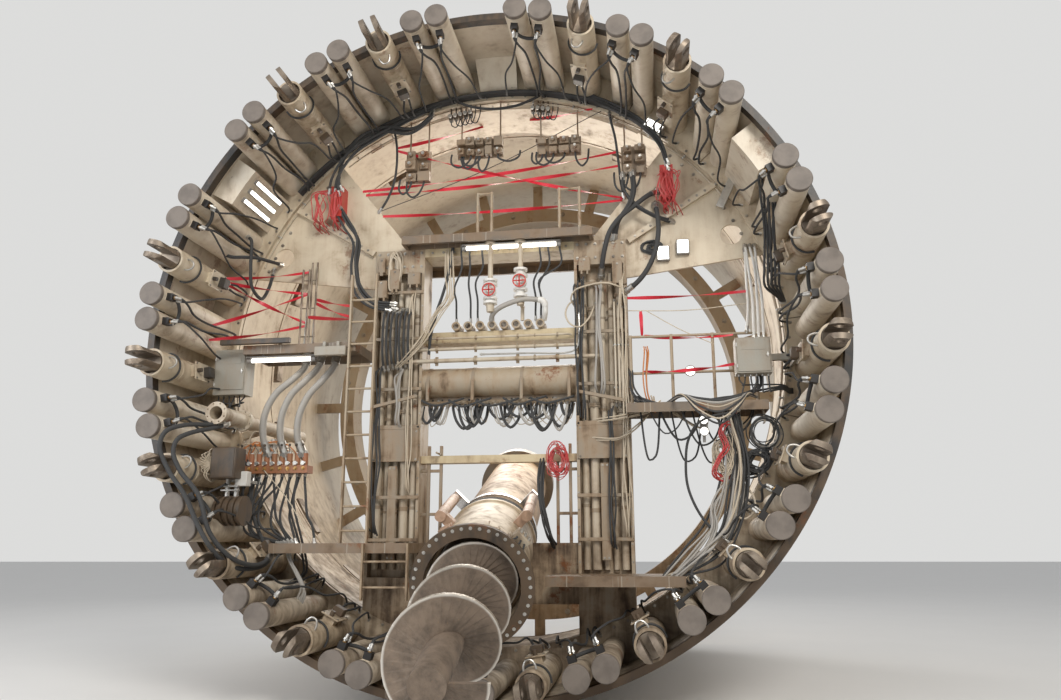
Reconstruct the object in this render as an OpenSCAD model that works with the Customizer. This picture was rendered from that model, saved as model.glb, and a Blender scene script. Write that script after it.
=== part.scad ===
// Middle shield of a tunnel boring machine, with its jacks, steering rams,
// inner frame, decks and screw conveyor.
// +Y runs back along the tunnel, +X to the right seen from the front, +Z up.
// The origin is under the front rim, where the belly rests in its cradle.

/* [Shield skins] */
// Outside diameter of the middle skin
skin_d = 8800; // [8200:50:9600]
// Thickness of the middle skin
skin_wall = 60; // [40:5:100]
// Length of the middle skin behind its front rim
skin_len = 3480; // [3300:20:3900]
// Length of the black front rim
rim_len = 130; // [80:10:200]
// Thickness of the front rim
rim_wall = 90; // [70:5:95]
// Thickness of the tail skin
tail_wall = 45; // [30:5:80]
// Length of the tail skin
tail_len = 3000; // [2700:50:3600]
// Length of the ring that joins the tail skin to the middle skin
joint_len = 160; // [100:10:240]
// How far the joint ring stands inside the skins
joint_depth = 40; // [20:5:45]

/* [Jack ring] */
// Depth of the circle of jacks and steering rams below the skin's outside
jack_inset = 270; // [250:5:290]
// Distance between the axes of the two jacks of a pair
jack_spacing = 331; // [325:2:345]
// Distance of the jacks' front caps ahead of the rim
cap_reach = 515; // [450:5:600]
// Front face of the jack ring behind the rim
ring_y = 1285; // [1200:5:1400]
// Thickness of the jack ring's plates
ring_plate = 70; // [40:5:110]
// Depth of the jack ring from face to face
ring_depth = 1250; // [1000:50:1400]
// Height of the jack ring below the skin's outside
ring_height = 550; // [520:10:600]
// Thickness of the ring's webs and of its inner tube
ring_web = 30; // [20:5:50]

/* [Jacks] */
// Outside diameter of a jack barrel
barrel_d = 290; // [270:2:300]
// Wall of a jack barrel
barrel_wall = 30; // [20:1:40]
// Diameter of the flat front cap
cap_d = 300; // [290:2:310]
// Thickness of the front cap
cap_t = 60; // [40:5:90]
// Spare length in a barrel beyond its piston and stroke
barrel_spare = 490; // [450:10:600]
// Length of the gland at the back of a barrel
gland_len = 220; // [150:10:260]
// Diameter of a jack rod
rod_d = 190; // [160:2:200]
// Length of the piston
piston_len = 200; // [120:10:260]
// Stroke of the jacks
jack_stroke = 2200; // [1800:50:2300]
// Gap between the gland and the shoe with the rod in
shoe_gap = 60; // [40:5:120]
// Thickness of a shoe with its pad
shoe_len = 250; // [200:10:320]
// Thickness of the pad on the shoe's back
pad_t = 60; // [30:5:100]
// Gap between the shoes and the joint ring they pass
shoe_clear = 10; // [6:1:30]
// Radial height of a shoe
shoe_height = 400; // [340:10:420]
// Width of a shoe as an angle
shoe_angle = 9; // [8:0.25:11]

/* [Steering rams] */
// Outside diameter of a steering ram's barrel
ram_barrel_d = 350; // [330:2:380]
// Mouth of the barrel ahead of the rim
ram_mouth_reach = 315; // [250:5:400]
// Bore of the barrel
ram_bore_d = 296; // [280:2:310]
// Length of the steering ram's barrel
ram_barrel_len = 2100; // [1900:20:2300]
// Diameter of the ram
ram_d = 280; // [260:2:290]
// Depth of the ram's shoulder behind the barrel's mouth
ram_shoulder = 60; // [30:5:110]
// Stroke of the steering rams
ram_stroke = 300; // [200:10:400]
// Fork tip ahead of the barrel's mouth
fork_reach = 430; // [400:5:520]
// Radial height of the fork
fork_h = 280; // [240:5:300]
// Width of the fork over both ears
fork_w = 230; // [210:5:250]
// Gap between the fork's ears
fork_gap = 100; // [80:2:120]
// Diameter of the pin hole in the ears
fork_pin_d = 120; // [100:2:140]

/* [Inner frame] */
// Inner face of the columns from the middle plane
column_in_x = 1070; // [1000:10:1200]
// Width of a column
column_w = 720; // [600:10:800]
// Depth of the columns and of the frame
frame_depth = 420; // [300:10:600]
// Thickness of the frame's plates
frame_plate = 40; // [25:5:60]
// Height of the column tops above the shield axis
column_top = 1560; // [1450:10:1650]
// Diameter of the round tie beam
tie_d = 410; // [360:5:460]
// Height of the tie beam's axis below the shield axis
tie_drop = 370; // [300:10:450]
// Diameter of the round hole in each haunch
haunch_hole_d = 290; // [240:5:320]

/* [Decks] */
// Thickness of the deck plates with their edge channels
deck_t = 120; // [80:5:160]
// Width of the tall ladder
ladder_w = 340; // [300:10:450]
// Spacing of the ladder rungs
rung_pitch = 300; // [250:10:320]
// Diameter of the hand rails
rail_d = 42; // [34:2:60]

/* [Screw conveyor] */
// Rise of the screw towards the back
screw_rise = 13.8; // [12:0.1:16]
// Turn of the screw to the left, seen from above
screw_skew = 4.5; // [0:0.1:6]
// Diameter over the screw's flights
flight_d = 1000; // [940:10:1004]
// Pitch of the flights
flight_pitch = 950; // [800:10:1100]
// Thickness of a flight at its edge
flight_t = 45; // [30:5:60]
// Diameter of the screw's shaft
shaft_d = 320; // [260:10:380]
// Bare length of the screw ahead of the casing flange
bare_len = 2600; // [2400:20:2800]
// Inside diameter of the sliding rear casing
tube_bore_d = 1020; // [1016:2:1030]
// Wall of the sliding rear casing
tube_wall = 30; // [20:2:36]
// Inside diameter of the fixed front casing
casing_bore_d = 1100; // [1096:2:1120]
// Wall of the fixed front casing
casing_wall = 30; // [20:2:40]
// Length of the front casing
casing_len = 2000; // [1900:20:2060]
// Outside diameter of the casing's bolted flange
flange_d = 1400; // [1360:10:1460]
// Thickness of the bolted flange
flange_t = 70; // [50:5:100]
// Diameter of the flange's bolt circle
flange_pcd = 1310; // [1290:5:1330]
// Number of bolts in the flange
flange_bolts = 40; // [24:4:48]
// Diameter of the flange's bolt holes
flange_hole_d = 33; // [26:1:39]
// Length from the flange to the back of the screw
screw_len = 6400; // [6200:50:6600]
// Stroke by which the screw is drawn back
screw_stroke = 900; // [600:20:1000]

/* [Hidden] */
$fn = 128;

// Overrun of every cut past the face it opens
cut = 20;
// Running clearance on a radius between a rod and its bore
run_gap = 0.3;
// Gap between seated pieces of one body
seat_gap = 0.3;

skin_r = skin_d / 2;
skin_in_r = skin_r - skin_wall;
tail_r = skin_r - 20;
tail_in_r = tail_r - tail_wall;
joint_in_r = skin_in_r - joint_depth;
axis_z = skin_r;
// Rolled plates welded edge to edge in each skin
skin_plates = 8;

jack_pitch_r = skin_r - jack_inset;
ring_in_r = skin_r - ring_height;
pair_half_angle = asin(jack_spacing / 2 / jack_pitch_r);
// Number of jack pairs; the groups below are made for it
pair_count = 19;
pair_step = 360 / pair_count;

barrel_r = barrel_d / 2;
barrel_bore_r = barrel_r - barrel_wall;
rod_r = rod_d / 2;
// Oil space between the cap and the piston with the rod in
piston_gap = 30;
barrel_back = -cap_reach + cap_t + piston_gap + piston_len + jack_stroke + gland_len + barrel_spare;
shoe_y = barrel_back + shoe_gap;
shoe_out_r = joint_in_r - shoe_clear;
shoe_in_r = shoe_out_r - shoe_height;
ring_back = ring_y + ring_depth;
tail_y = skin_len + joint_len;
tail_end = tail_y + tail_len;

// First and last pair of each jack group, counted anticlockwise from the top
group_top = [17, 20];
group_left = [2, 6];
group_bottom = [7, 11];
group_right = [12, 16];
// Bays with a steering ram, counted anticlockwise from the top bay
rams_in_top = [1, 2, 17, 18];
rams_in_left = [4, 5, 6, 7];
rams_in_bottom = [8, 9, 10, 11];
rams_in_right = [12, 13, 14, 15];
ram_bays = concat(rams_in_top, rams_in_left, rams_in_bottom, rams_in_right);
covered_bays = [3, 16];
open_bays = [0];

// Angle of a jack pair, measured from +X towards +Z
function pair_a(k) = 90 + pair_step * (k + 0.5);
// Angle of a bay between two pairs
function bay_a(k) = 90 + pair_step * k;
// Angles of both jacks of the pairs in one group
function jack_angles(g) = [for (k = [g[0]:g[1]]) for (s = [-1, 1]) pair_a(k) + s * pair_half_angle];
all_pairs = [0, pair_count - 1];

// Point at a radius and an angle from +X towards +Z, seen from the front
function polar(r, a) = [r * cos(a), r * sin(a)];
function arc_pts(r, a0, a1, n) = [for (i = [0:n]) polar(r, a0 + (a1 - a0) * i / n)];

// Puts the origin on the shield axis, in the plane of the front rim
module on_axis() translate([0, 0, axis_z]) children();

// Turns radial pieces, drawn along +X, to an angle around the shield axis
module at_angle(a) rotate([0, -a, 0]) children();

// Revolves a profile of [radius, y] points about the Y axis
module revolve_y(profile) rotate([-90, 0, 0]) rotate_extrude() polygon(profile);

// Sweeps such a profile to both sides of +X by half an angle
module sector_y(profile, half)
    at_angle(half) rotate([-90, 0, 0]) rotate_extrude(angle = 2 * half, $fn = 720) polygon(profile);

// Profile of a straight shell between two radii and two places along Y
function shell(ri, ro, y0, y1) = [[ri, y0], [ro, y0], [ro, y1], [ri, y1]];

// Half angle of one of n pieces around the shield, less its share of the weld gap
function share(n, r) = 180 / n - asin(seat_gap / 2 / r);

// Extrudes a flat [x, z] outline from y0 back to y1
module slab(y0, y1) translate([0, y1, 0]) rotate([90, 0, 0]) linear_extrude(y1 - y0) children();

// Round tube along Y
module tube_y(y0, y1, ro, ri) revolve_y(shell(ri, ro, y0, y1));

// Solid rod along Y
module rod_y(y0, y1, r) translate([0, y0, 0]) rotate([-90, 0, 0]) cylinder(h = y1 - y0, r = r);

// Thin rod along Y with few sides
module pin_y(y0, y1, r) translate([0, y0, 0]) rotate([-90, 0, 0]) cylinder(h = y1 - y0, r = r, $fn = 24);

// Box from its low corner to its high corner
module span(lo, hi) translate(lo) cube(hi - lo);

// Round bar between two points
module bar(p, q, r) {
    d = q - p;
    len = norm(d);
    translate(p)
        rotate([0, acos(d[2] / len), atan2(d[1], d[0])])
            cylinder(h = len, r = r, $fn = 24);
}

// Skins and rings

module rim_ring() color([0.06, 0.06, 0.06]) on_axis()
    tube_y(0, rim_len, skin_r, skin_r - rim_wall);

module plated_skin(y0, y1, ro, ri)
    for (i = [0:skin_plates - 1]) at_angle(i * 360 / skin_plates)
        sector_y(shell(ri, ro, y0, y1), share(skin_plates, ri));

module middle_skin() color([0.75, 0.68, 0.56]) on_axis()
    plated_skin(rim_len + seat_gap, skin_len, skin_r, skin_in_r);

module tail_joint() color([0.72, 0.66, 0.55]) on_axis()
    revolve_y([
        [joint_in_r, skin_len - joint_len],
        [skin_in_r - seat_gap, skin_len - joint_len],
        [skin_in_r - seat_gap, skin_len + seat_gap],
        [skin_r - 5, skin_len + seat_gap],
        [skin_r - 5, tail_y - seat_gap],
        [joint_in_r, tail_y - seat_gap]
    ]);

module tail_skin() color([0.74, 0.69, 0.60]) on_axis()
    plated_skin(tail_y, tail_end, tail_r, tail_in_r);

// Bracing ring in the tail, an angle section on feet, welded from segments
tail_ring_set_back = 1845;
tail_ring_inset = 735;
tail_ring_gap = 475;
tail_ring_y = tail_y + tail_ring_set_back;
tail_ring_in_r = tail_in_r - tail_ring_inset;
tail_ring_out_r = tail_in_r - tail_ring_gap;
tail_ring_plate = 60;
tail_ring_flange = 480;
tail_ring_lip = 50;
tail_ring_segments = 12;
tail_ring_hole_r = (tail_ring_in_r + tail_ring_out_r) / 2 + 20;
tail_ring_hole_d = 50;
tail_foot_w = 180;
module tail_ring() color([0.62, 0.55, 0.47]) on_axis() {
    back = tail_ring_y + tail_ring_plate;
    foot_x = sqrt(pow(tail_in_r - seat_gap, 2) - pow(tail_foot_w / 2, 2));
    step = 180 / tail_ring_segments;
    for (i = [0:tail_ring_segments - 1]) at_angle((2 * i + 0.25) * step) difference() {
        union() {
            sector_y([
                [tail_ring_in_r, tail_ring_y],
                [tail_ring_out_r, tail_ring_y],
                [tail_ring_out_r, back],
                [tail_ring_in_r + tail_ring_lip, back],
                [tail_ring_in_r + tail_ring_lip, tail_ring_y + tail_ring_flange],
                [tail_ring_in_r, tail_ring_y + tail_ring_flange]
            ], share(tail_ring_segments, tail_ring_in_r));
            for (a = [-0.25, 0.75]) at_angle(a * step)
                span([tail_ring_out_r - 10, tail_ring_y, -tail_foot_w / 2],
                     [foot_x, back, tail_foot_w / 2]);
        }
        for (a = [-0.75, 0.25]) at_angle(a * step) translate([tail_ring_hole_r, 0, 0])
            rod_y(tail_ring_y - cut, back + cut, tail_ring_hole_d / 2);
    }
}

// A web stands midway between a jack and the ram beside it
web_angle = 0.53 * (pair_step / 2 - pair_half_angle);
// The ring is welded from one box per bay, with seams between the jacks of a pair
module ring_box(has_ram) difference() {
    out_r = skin_in_r - seat_gap;
    half = share(pair_count, ring_in_r);
    hole_y0 = ring_y - cut;
    union() {
        sector_y([
            [ring_in_r, ring_y],
            [out_r, ring_y],
            [out_r, ring_y + ring_plate],
            [ring_in_r + ring_web, ring_y + ring_plate],
            [ring_in_r + ring_web, ring_back - ring_plate],
            [out_r, ring_back - ring_plate],
            [out_r, ring_back],
            [ring_in_r, ring_back]
        ], half);
        for (s = [-1, 1]) at_angle(s * web_angle)
            span([ring_in_r + ring_web / 2, ring_y + ring_plate / 2, -ring_web / 2],
                 [out_r - 10, ring_back - ring_plate / 2, ring_web / 2]);
    }
    for (s = [-1, 1]) at_angle(s * (pair_step / 2 - pair_half_angle)) translate([jack_pitch_r, 0, 0])
        rod_y(hole_y0, ring_back + cut, barrel_r + seat_gap);
    if (has_ram) translate([jack_pitch_r, 0, 0])
        rod_y(hole_y0, ring_y + ring_plate + cut, ram_barrel_d / 2 + seat_gap);
}

module jack_ring() color([0.76, 0.68, 0.55]) on_axis()
    for (k = [0:pair_count - 1]) at_angle(bay_a(k)) ring_box(len(search(k, ram_bays)) > 0);

// Bays where no steering ram is fitted: a cover open to the ring, or a sloping plate at the top
cover_half = pair_step / 2 - pair_half_angle - 3.2;
cover_y = rim_len + 60;
cover_height = 335;
cover_wall = 30;
apron_y = 935;
apron_t = 30;
apron_foot = 110;
module bay_covers() color([0.80, 0.72, 0.58]) on_axis() {
    out_r = skin_in_r - 2;
    for (k = covered_bays) at_angle(bay_a(k)) difference() {
        sector_y(shell(out_r - cover_height, out_r, cover_y, ring_y - seat_gap), cover_half);
        sector_y(shell(out_r - cover_height + cover_wall, out_r - cover_wall,
                       cover_y + cover_wall, ring_y + cut), cover_half - 0.5);
    }
    for (k = open_bays) at_angle(bay_a(k))
        sector_y([
            [out_r, apron_y],
            [out_r, apron_y + apron_t],
            [ring_in_r + apron_foot, ring_y - seat_gap],
            [ring_in_r + apron_foot, ring_y - seat_gap - apron_t]
        ], cover_half);
}

// Jacks

cap_bevel = 8;
module jack_barrel() revolve_y([
    [0, -cap_reach],
    [cap_d / 2 - cap_bevel, -cap_reach],
    [cap_d / 2, -cap_reach + cap_bevel],
    [cap_d / 2, -cap_reach + cap_t],
    [barrel_r, -cap_reach + cap_t],
    [barrel_r, barrel_back],
    [rod_r + run_gap, barrel_back],
    [rod_r + run_gap, barrel_back - gland_len],
    [barrel_bore_r, barrel_back - gland_len],
    [barrel_bore_r, -cap_reach + cap_t],
    [0, -cap_reach + cap_t]
]);

// Block with the oil port, on the side of the barrel towards the axis
port_y = -cap_reach + 175;
port_h = 85;
port_w = 90;
port_len = 110;
module port_block() difference() {
    span([-barrel_r - port_h, port_y - port_len / 2, -port_w / 2],
         [-barrel_r + 40, port_y + port_len / 2, port_w / 2]);
    rod_y(port_y - port_len, port_y + port_len, barrel_r - 1);
}

module jack_barrels() color([0.78, 0.70, 0.58]) on_axis()
    for (a = jack_angles(all_pairs))
        at_angle(a) translate([jack_pitch_r, 0, 0]) {
            jack_barrel();
            port_block();
        }

// Rod with its piston; both jacks of a pair push one shoe
piston_y = -cap_reach + cap_t + piston_gap;
module jack_rod() revolve_y([
    [0, piston_y],
    [barrel_bore_r - run_gap, piston_y],
    [barrel_bore_r - run_gap, piston_y + piston_len],
    [rod_r, piston_y + piston_len],
    [rod_r, shoe_y - seat_gap],
    [0, shoe_y - seat_gap]
]);

module jack_rods(g) color([0.72, 0.72, 0.72]) on_axis()
    for (a = jack_angles(g))
        at_angle(a) translate([jack_pitch_r, 0, 0]) jack_rod();

// How far the pad stays inside the shoe's outline
pad_edge = 30;
module jack_shoes(g) color([0.55, 0.50, 0.42]) on_axis()
    for (k = [g[0]:g[1]]) at_angle(pair_a(k)) {
        pad_y = shoe_y + shoe_len - pad_t;
        sector_y(shell(shoe_in_r, shoe_out_r, shoe_y, pad_y), shoe_angle / 2);
        sector_y(shell(shoe_in_r + pad_edge, shoe_out_r - pad_edge, pad_y - 1, shoe_y + shoe_len),
                 shoe_angle / 2 - 0.4);
    }

// Steering rams

ram_mouth = -ram_mouth_reach;
ram_back = ram_mouth + ram_barrel_len;
ram_barrel_r = ram_barrel_d / 2;
ram_cap_t = 70;
ram_gland_y = ram_mouth + ram_shoulder + 60;
ram_gland_len = 220;
// Shallow groove round the barrel
groove_y = ram_mouth + 430;
groove_w = 28;
groove_depth = 8;
// Block on the side of the barrel towards the axis
ram_block_y = ram_mouth + 640;
ram_block_len = 290;
ram_block_w = 150;
ram_block_h = 55;
module ram_barrel() {
    revolve_y([
        [ram_bore_d / 2, ram_mouth],
        [ram_barrel_r, ram_mouth],
        [ram_barrel_r, groove_y],
        [ram_barrel_r - groove_depth, groove_y + 6],
        [ram_barrel_r - groove_depth, groove_y + groove_w - 6],
        [ram_barrel_r, groove_y + groove_w],
        [ram_barrel_r, ram_back],
        [0, ram_back],
        [0, ram_back - ram_cap_t],
        [ram_bore_d / 2, ram_back - ram_cap_t],
        [ram_bore_d / 2, ram_gland_y + ram_gland_len],
        [ram_d / 2 + run_gap, ram_gland_y + ram_gland_len],
        [ram_d / 2 + run_gap, ram_gland_y],
        [ram_bore_d / 2, ram_gland_y]
    ]);
    difference() {
        span([-ram_barrel_r - ram_block_h, ram_block_y, -ram_block_w / 2],
             [0, ram_block_y + ram_block_len, ram_block_w / 2]);
        rod_y(ram_block_y - cut, ram_block_y + ram_block_len + cut, ram_barrel_r - 5);
    }
}

module ram_barrels() color([0.74, 0.65, 0.50]) on_axis()
    for (k = ram_bays) at_angle(bay_a(k)) translate([jack_pitch_r, 0, 0]) ram_barrel();

// Ram with its fork; the pin lies square to the radius
fork_tip = ram_mouth - fork_reach;
pin_y = fork_tip + fork_h / 2;
ram_len = 2 * ram_stroke + 300;
module ram() {
    shoulder = ram_mouth + ram_shoulder;
    rod_y(shoulder, shoulder + ram_len, ram_d / 2);
    difference() {
        intersection() {
            union() {
                span([-fork_h / 2, pin_y, -fork_w / 2], [fork_h / 2, shoulder + 5, fork_w / 2]);
                translate([0, pin_y, -fork_w / 2]) cylinder(h = fork_w, r = fork_h / 2);
            }
            rod_y(fork_tip - cut, shoulder + 10, ram_d / 2);
        }
        span([-fork_h, fork_tip - cut, -fork_gap / 2], [fork_h, shoulder - 75, fork_gap / 2]);
        translate([0, pin_y, -fork_w]) cylinder(h = 2 * fork_w, r = fork_pin_d / 2);
    }
}

module rams(bays) color([0.66, 0.58, 0.47]) on_axis()
    for (k = bays) at_angle(bay_a(k)) translate([jack_pitch_r, 0, 0]) ram();

// Inner frame, centred on the plane of the jack ring

frame_y = ring_y;
frame_back = frame_y + frame_depth;
column_out_x = column_in_x + column_w;

// Recess for the upright pipes in the face of a column
recess_depth = 160;
recess_top = column_top - 350;
recess_foot = -3000;

module columns() color([0.70, 0.63, 0.52]) on_axis()
    for (s = [-1, 1]) mirror([s < 0 ? 1 : 0, 0, 0]) difference() {
        intersection() {
            span([column_in_x, frame_y, -ring_in_r], [column_out_x, frame_back, column_top]);
            rod_y(frame_y - cut, frame_back + cut, ring_in_r - seat_gap, $fn = 720);
        }
        for (y = [frame_y + recess_depth - 500, frame_back - recess_depth])
            span([column_in_x + frame_plate, y, recess_foot],
                 [column_out_x - frame_plate, y + 500, recess_top]);
    }

// Half width of the walkway on top of the frame
walkway_x = column_in_x + 280;

// Haunch plates between the column tops and the ring, from low to high angle
haunch_low = 19;
haunch_high = 51;
haunch_y = frame_y + 60;
haunch_rise = 80;
haunch_drop = 550;
haunch_hole_r = ring_in_r - 259;
haunch_hole_angle = 25.8;
girder_w = 80;
girder_depth = 220;
girder_angle = 37;
module haunches() color([0.73, 0.66, 0.55]) on_axis()
    for (s = [-1, 1]) mirror([s < 0 ? 1 : 0, 0, 0]) {
        r = ring_in_r - seat_gap;
        foot = [column_out_x + girder_w / 2, column_top - 25];
        tip = polar(ring_in_r - 40, girder_angle);
        side = [foot[1] - tip[1], tip[0] - foot[0]] * girder_w / 2 / norm(tip - foot);
        difference() {
            union() {
                slab(haunch_y, haunch_y + frame_plate) polygon(concat(
                    arc_pts(r, haunch_low, haunch_high, 12),
                    [[walkway_x + seat_gap, column_top + haunch_rise],
                     [walkway_x + seat_gap, column_top + seat_gap],
                     [column_out_x + seat_gap, column_top + seat_gap],
                     [column_out_x + seat_gap, column_top - haunch_drop]]));
                slab(frame_y, frame_y + girder_depth)
                    polygon([foot - side, tip - side, tip + side, foot + side]);
            }
            at_angle(haunch_hole_angle) translate([haunch_hole_r, 0, 0])
                rod_y(frame_y - cut, frame_y + girder_depth + cut, haunch_hole_d / 2);
        }
    }

// Beams between the columns: front and back behind the frame's face, low and high edge
beam_rows = [
    [60, 300, 170, 330],
    [80, 260, -1500, -1400],
    [0, frame_depth, column_top - 120, column_top]
];
module cross_beams() color([0.78, 0.70, 0.50]) on_axis() {
    in_x = column_in_x - seat_gap;
    for (row = beam_rows)
        span([-in_x, frame_y + row[0], row[2]], [in_x, frame_y + row[1], row[3]]);
}

module tie_beam() color([0.66, 0.58, 0.46]) on_axis() {
    in_x = column_in_x - seat_gap;
    translate([-in_x, frame_y + frame_depth / 2, -tie_drop])
        rotate([0, 90, 0]) cylinder(h = 2 * in_x, r = tie_d / 2);
}

// The walkway reaches ahead of the frame and behind it, with a channel on each edge
walkway_front = frame_y - 250;
walkway_back = frame_back + 900;
walkway_edge = 50;
module top_walkway() color([0.30, 0.28, 0.26]) on_axis()
    difference() {
        span([-walkway_x, walkway_front, column_top + seat_gap],
             [walkway_x, walkway_back, column_top + deck_t]);
        for (y = [[walkway_front + walkway_edge, frame_y - 20],
                  [frame_back + 20, walkway_back - walkway_edge]])
            span([-walkway_x + walkway_edge, y[0], column_top - cut],
                 [walkway_x - walkway_edge, y[1], column_top + deck_t - deck_plate]);
    }

// Thickness of a deck's plate and of its edge channels
deck_plate = 12;
// Decks, from their front edge back to the plane of the frame. The outer ends keep
// their distance from the skin, and the low decks keep their height above its bottom.
// Columns: x0, x1, front y, level of the top
left_deck_rows = [
    [1710 - skin_r, -900, 300, 1840 - skin_r],
    [1070 - skin_r, -1760, 500, 30]
];
right_deck_rows = [
    [765, skin_r - 2010, 300, 1455 - skin_r],
    [1760, skin_r - 900, 700, -850]
];
deck_back = frame_y - seat_gap;
module deck(row) difference() {
    span([row[0], row[2], row[3] - deck_t], [row[1], deck_back, row[3]]);
    span([row[0] + deck_plate, row[2] + deck_plate, row[3] - deck_t - cut],
         [row[1] - deck_plate, deck_back - deck_plate, row[3] - deck_plate]);
}

module left_decks() color([0.42, 0.38, 0.33]) on_axis()
    for (row = left_deck_rows) deck(row);

module right_decks() color([0.42, 0.38, 0.33]) on_axis()
    for (row = right_deck_rows) deck(row);

// Ladder standing along Z, rungs across X
stile_w = 24;
stile_depth = 60;
rung_r = 15;
module ladder(w, h) {
    for (s = [-1, 1])
        span([(s * w - stile_w) / 2, -stile_depth / 2, 0], [(s * w + stile_w) / 2, stile_depth / 2, h]);
    for (z = [rung_pitch / 2:rung_pitch:h - stile_depth])
        translate([-w / 2, 0, z]) rotate([0, 90, 0]) cylinder(h = w, r = rung_r, $fn = 24);
}

// Tall ladder from the low left deck up past the middle one: x, height
// Foot ladder under the low left deck's front edge: x, width, height
tall_ladder = [-1660, 3500];
foot_ladder = [-1180, 560, 660];
module ladders() color([0.62, 0.55, 0.42]) on_axis() {
    low = left_deck_rows[0];
    mid = left_deck_rows[1];
    ahead = stile_depth / 2 + seat_gap;
    translate([tall_ladder[0], mid[2] - ahead, low[3] + seat_gap]) ladder(ladder_w, tall_ladder[1]);
    translate([foot_ladder[0], low[2] - ahead, low[3] - 10 - foot_ladder[2]])
        ladder(foot_ladder[1], foot_ladder[2]);
}

// Railings: x0, x1, y, level of the foot, height
railing_rows = [
    [right_deck_rows[1][0] + 60, right_deck_rows[1][1] - 60, deck_back - 60, right_deck_rows[1][3], 1000],
    [-260, -60, frame_y - 225, column_top + deck_t, 600],
    [900, 1180, frame_y - 225, column_top + deck_t, 600]
];
module railings() color([0.72, 0.66, 0.55]) on_axis() {
    r = rail_d / 2;
    for (row = railing_rows) {
        posts = row[1] - row[0] > 1000 ? 4 : 2;
        for (i = [0:posts - 1])
            translate([row[0] + i * (row[1] - row[0]) / (posts - 1), row[2], row[3] + seat_gap])
                cylinder(h = row[4], r = r, $fn = 24);
        for (z = posts > 2 ? [row[4] / 2, row[4]] : [row[4]])
            bar([row[0], row[2], row[3] + z - r], [row[1], row[2], row[3] + z - r], r - 3);
    }
}

// Upright pipes in the recess of each column: x, radius, low z, high z
pipe_rows = [
    [1180, 45, -2900, 1150],
    [1310, 60, -2900, 1000],
    [1440, 36, -2900, 1100],
    [1560, 36, -2900, 1100],
    [1680, 50, -2900, 900]
];
// Level pipes across the faces of both columns: half length, radius, z
level_pipe_rows = [
    [1150, 22, 65],
    [1420, 28, -100]
];
// Long return pipe along the left side: x, z
return_pipe = [1055 - skin_r, -960];
return_pipe_r = 100;
return_pipe_wall = 15;
return_pipe_y = -40;
// Flanges on the return pipe
pipe_flange_r = 142;
pipe_flange_t = 26;
pipe_flange_pcd = 240;
pipe_flange_holes = 8;
pipe_flange_hole_d = 22;
pipe_flange_rows = [return_pipe_y, 640, 670];
clamp_w = 100;
clamp_len = 80;
module return_line() {
    clamp_x = sqrt(pow(ring_in_r - seat_gap, 2) - pow(clamp_w / 2, 2));
    angle = atan2(return_pipe[1], return_pipe[0]);
    difference() {
        union() {
            translate([return_pipe[0], 0, return_pipe[1]]) {
                rod_y(return_pipe_y, ring_back, return_pipe_r);
                for (y = pipe_flange_rows) rod_y(y, y + pipe_flange_t, pipe_flange_r);
            }
            for (y = [ring_y + 120, ring_back - 220]) at_angle(angle)
                span([norm(return_pipe), y, -clamp_w / 2], [clamp_x, y + clamp_len, clamp_w / 2]);
        }
        translate([return_pipe[0], 0, return_pipe[1]]) {
            rod_y(return_pipe_y - cut, ring_back + cut, return_pipe_r - return_pipe_wall);
            for (i = [0:pipe_flange_holes - 1]) at_angle((i + 0.5) * 360 / pipe_flange_holes)
                translate([pipe_flange_pcd / 2, 0, 0])
                    pin_y(return_pipe_y - cut, pipe_flange_rows[2] + pipe_flange_t + cut,
                          pipe_flange_hole_d / 2);
        }
    }
}

module pipe_runs() color([0.64, 0.57, 0.46]) on_axis() {
    for (s = [-1, 1]) for (row = pipe_rows)
        translate([s * row[0], frame_y + recess_depth - row[1] - seat_gap, row[2]])
            cylinder(h = row[3] - row[2], r = row[1], $fn = 32);
    for (row = level_pipe_rows)
        translate([-row[0], frame_y - row[1] - seat_gap, row[2]])
            rotate([0, 90, 0]) cylinder(h = 2 * row[0], r = row[1], $fn = 32);
    return_line();
}

// Row of valves on the upper cross beam
valve_count = 8;
valve_pitch = 170;
valve_x = -600;
valve_r = 62;
valve_bore_r = 40;
valve_len = 260;
valve_stem = 70;
module valve_row() color([0.66, 0.60, 0.50]) on_axis()
    for (i = [0:valve_count - 1])
        translate([valve_x + i * valve_pitch, frame_y + 60, beam_rows[0][3] + valve_stem + seat_gap]) {
            tube_y(-60, valve_len - 60, valve_r, valve_bore_r);
            span([-30, 20, -valve_stem], [30, 120, -valve_r + 7]);
        }

// Shelf with the valves, hung from the ring's face by an arm: x0, x1, low z, thickness
shelf = [820 - skin_r, 1980 - skin_r, -1660, 100];
shelf_y = 700;
shelf_depth = 200;
shelf_arm_w = 80;
spool_count = 9;
spool_pitch = 107;
spool_r = 38;
spool_h = 170;
module valve_bank() color([0.55, 0.30, 0.18]) on_axis() {
    top = shelf[2] + shelf[3];
    span([shelf[0], shelf_y, shelf[2]], [shelf[1], shelf_y + shelf_depth, top]);
    span([shelf[0], shelf_y + shelf_depth - 20, shelf[2]],
         [shelf[0] + shelf_arm_w, ring_y - seat_gap, top]);
    for (i = [0:spool_count - 1])
        translate([shelf[0] + 250 + i * spool_pitch, shelf_y + 60, top - 10])
            cylinder(h = spool_h, r = spool_r, $fn = 32);
}

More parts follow.
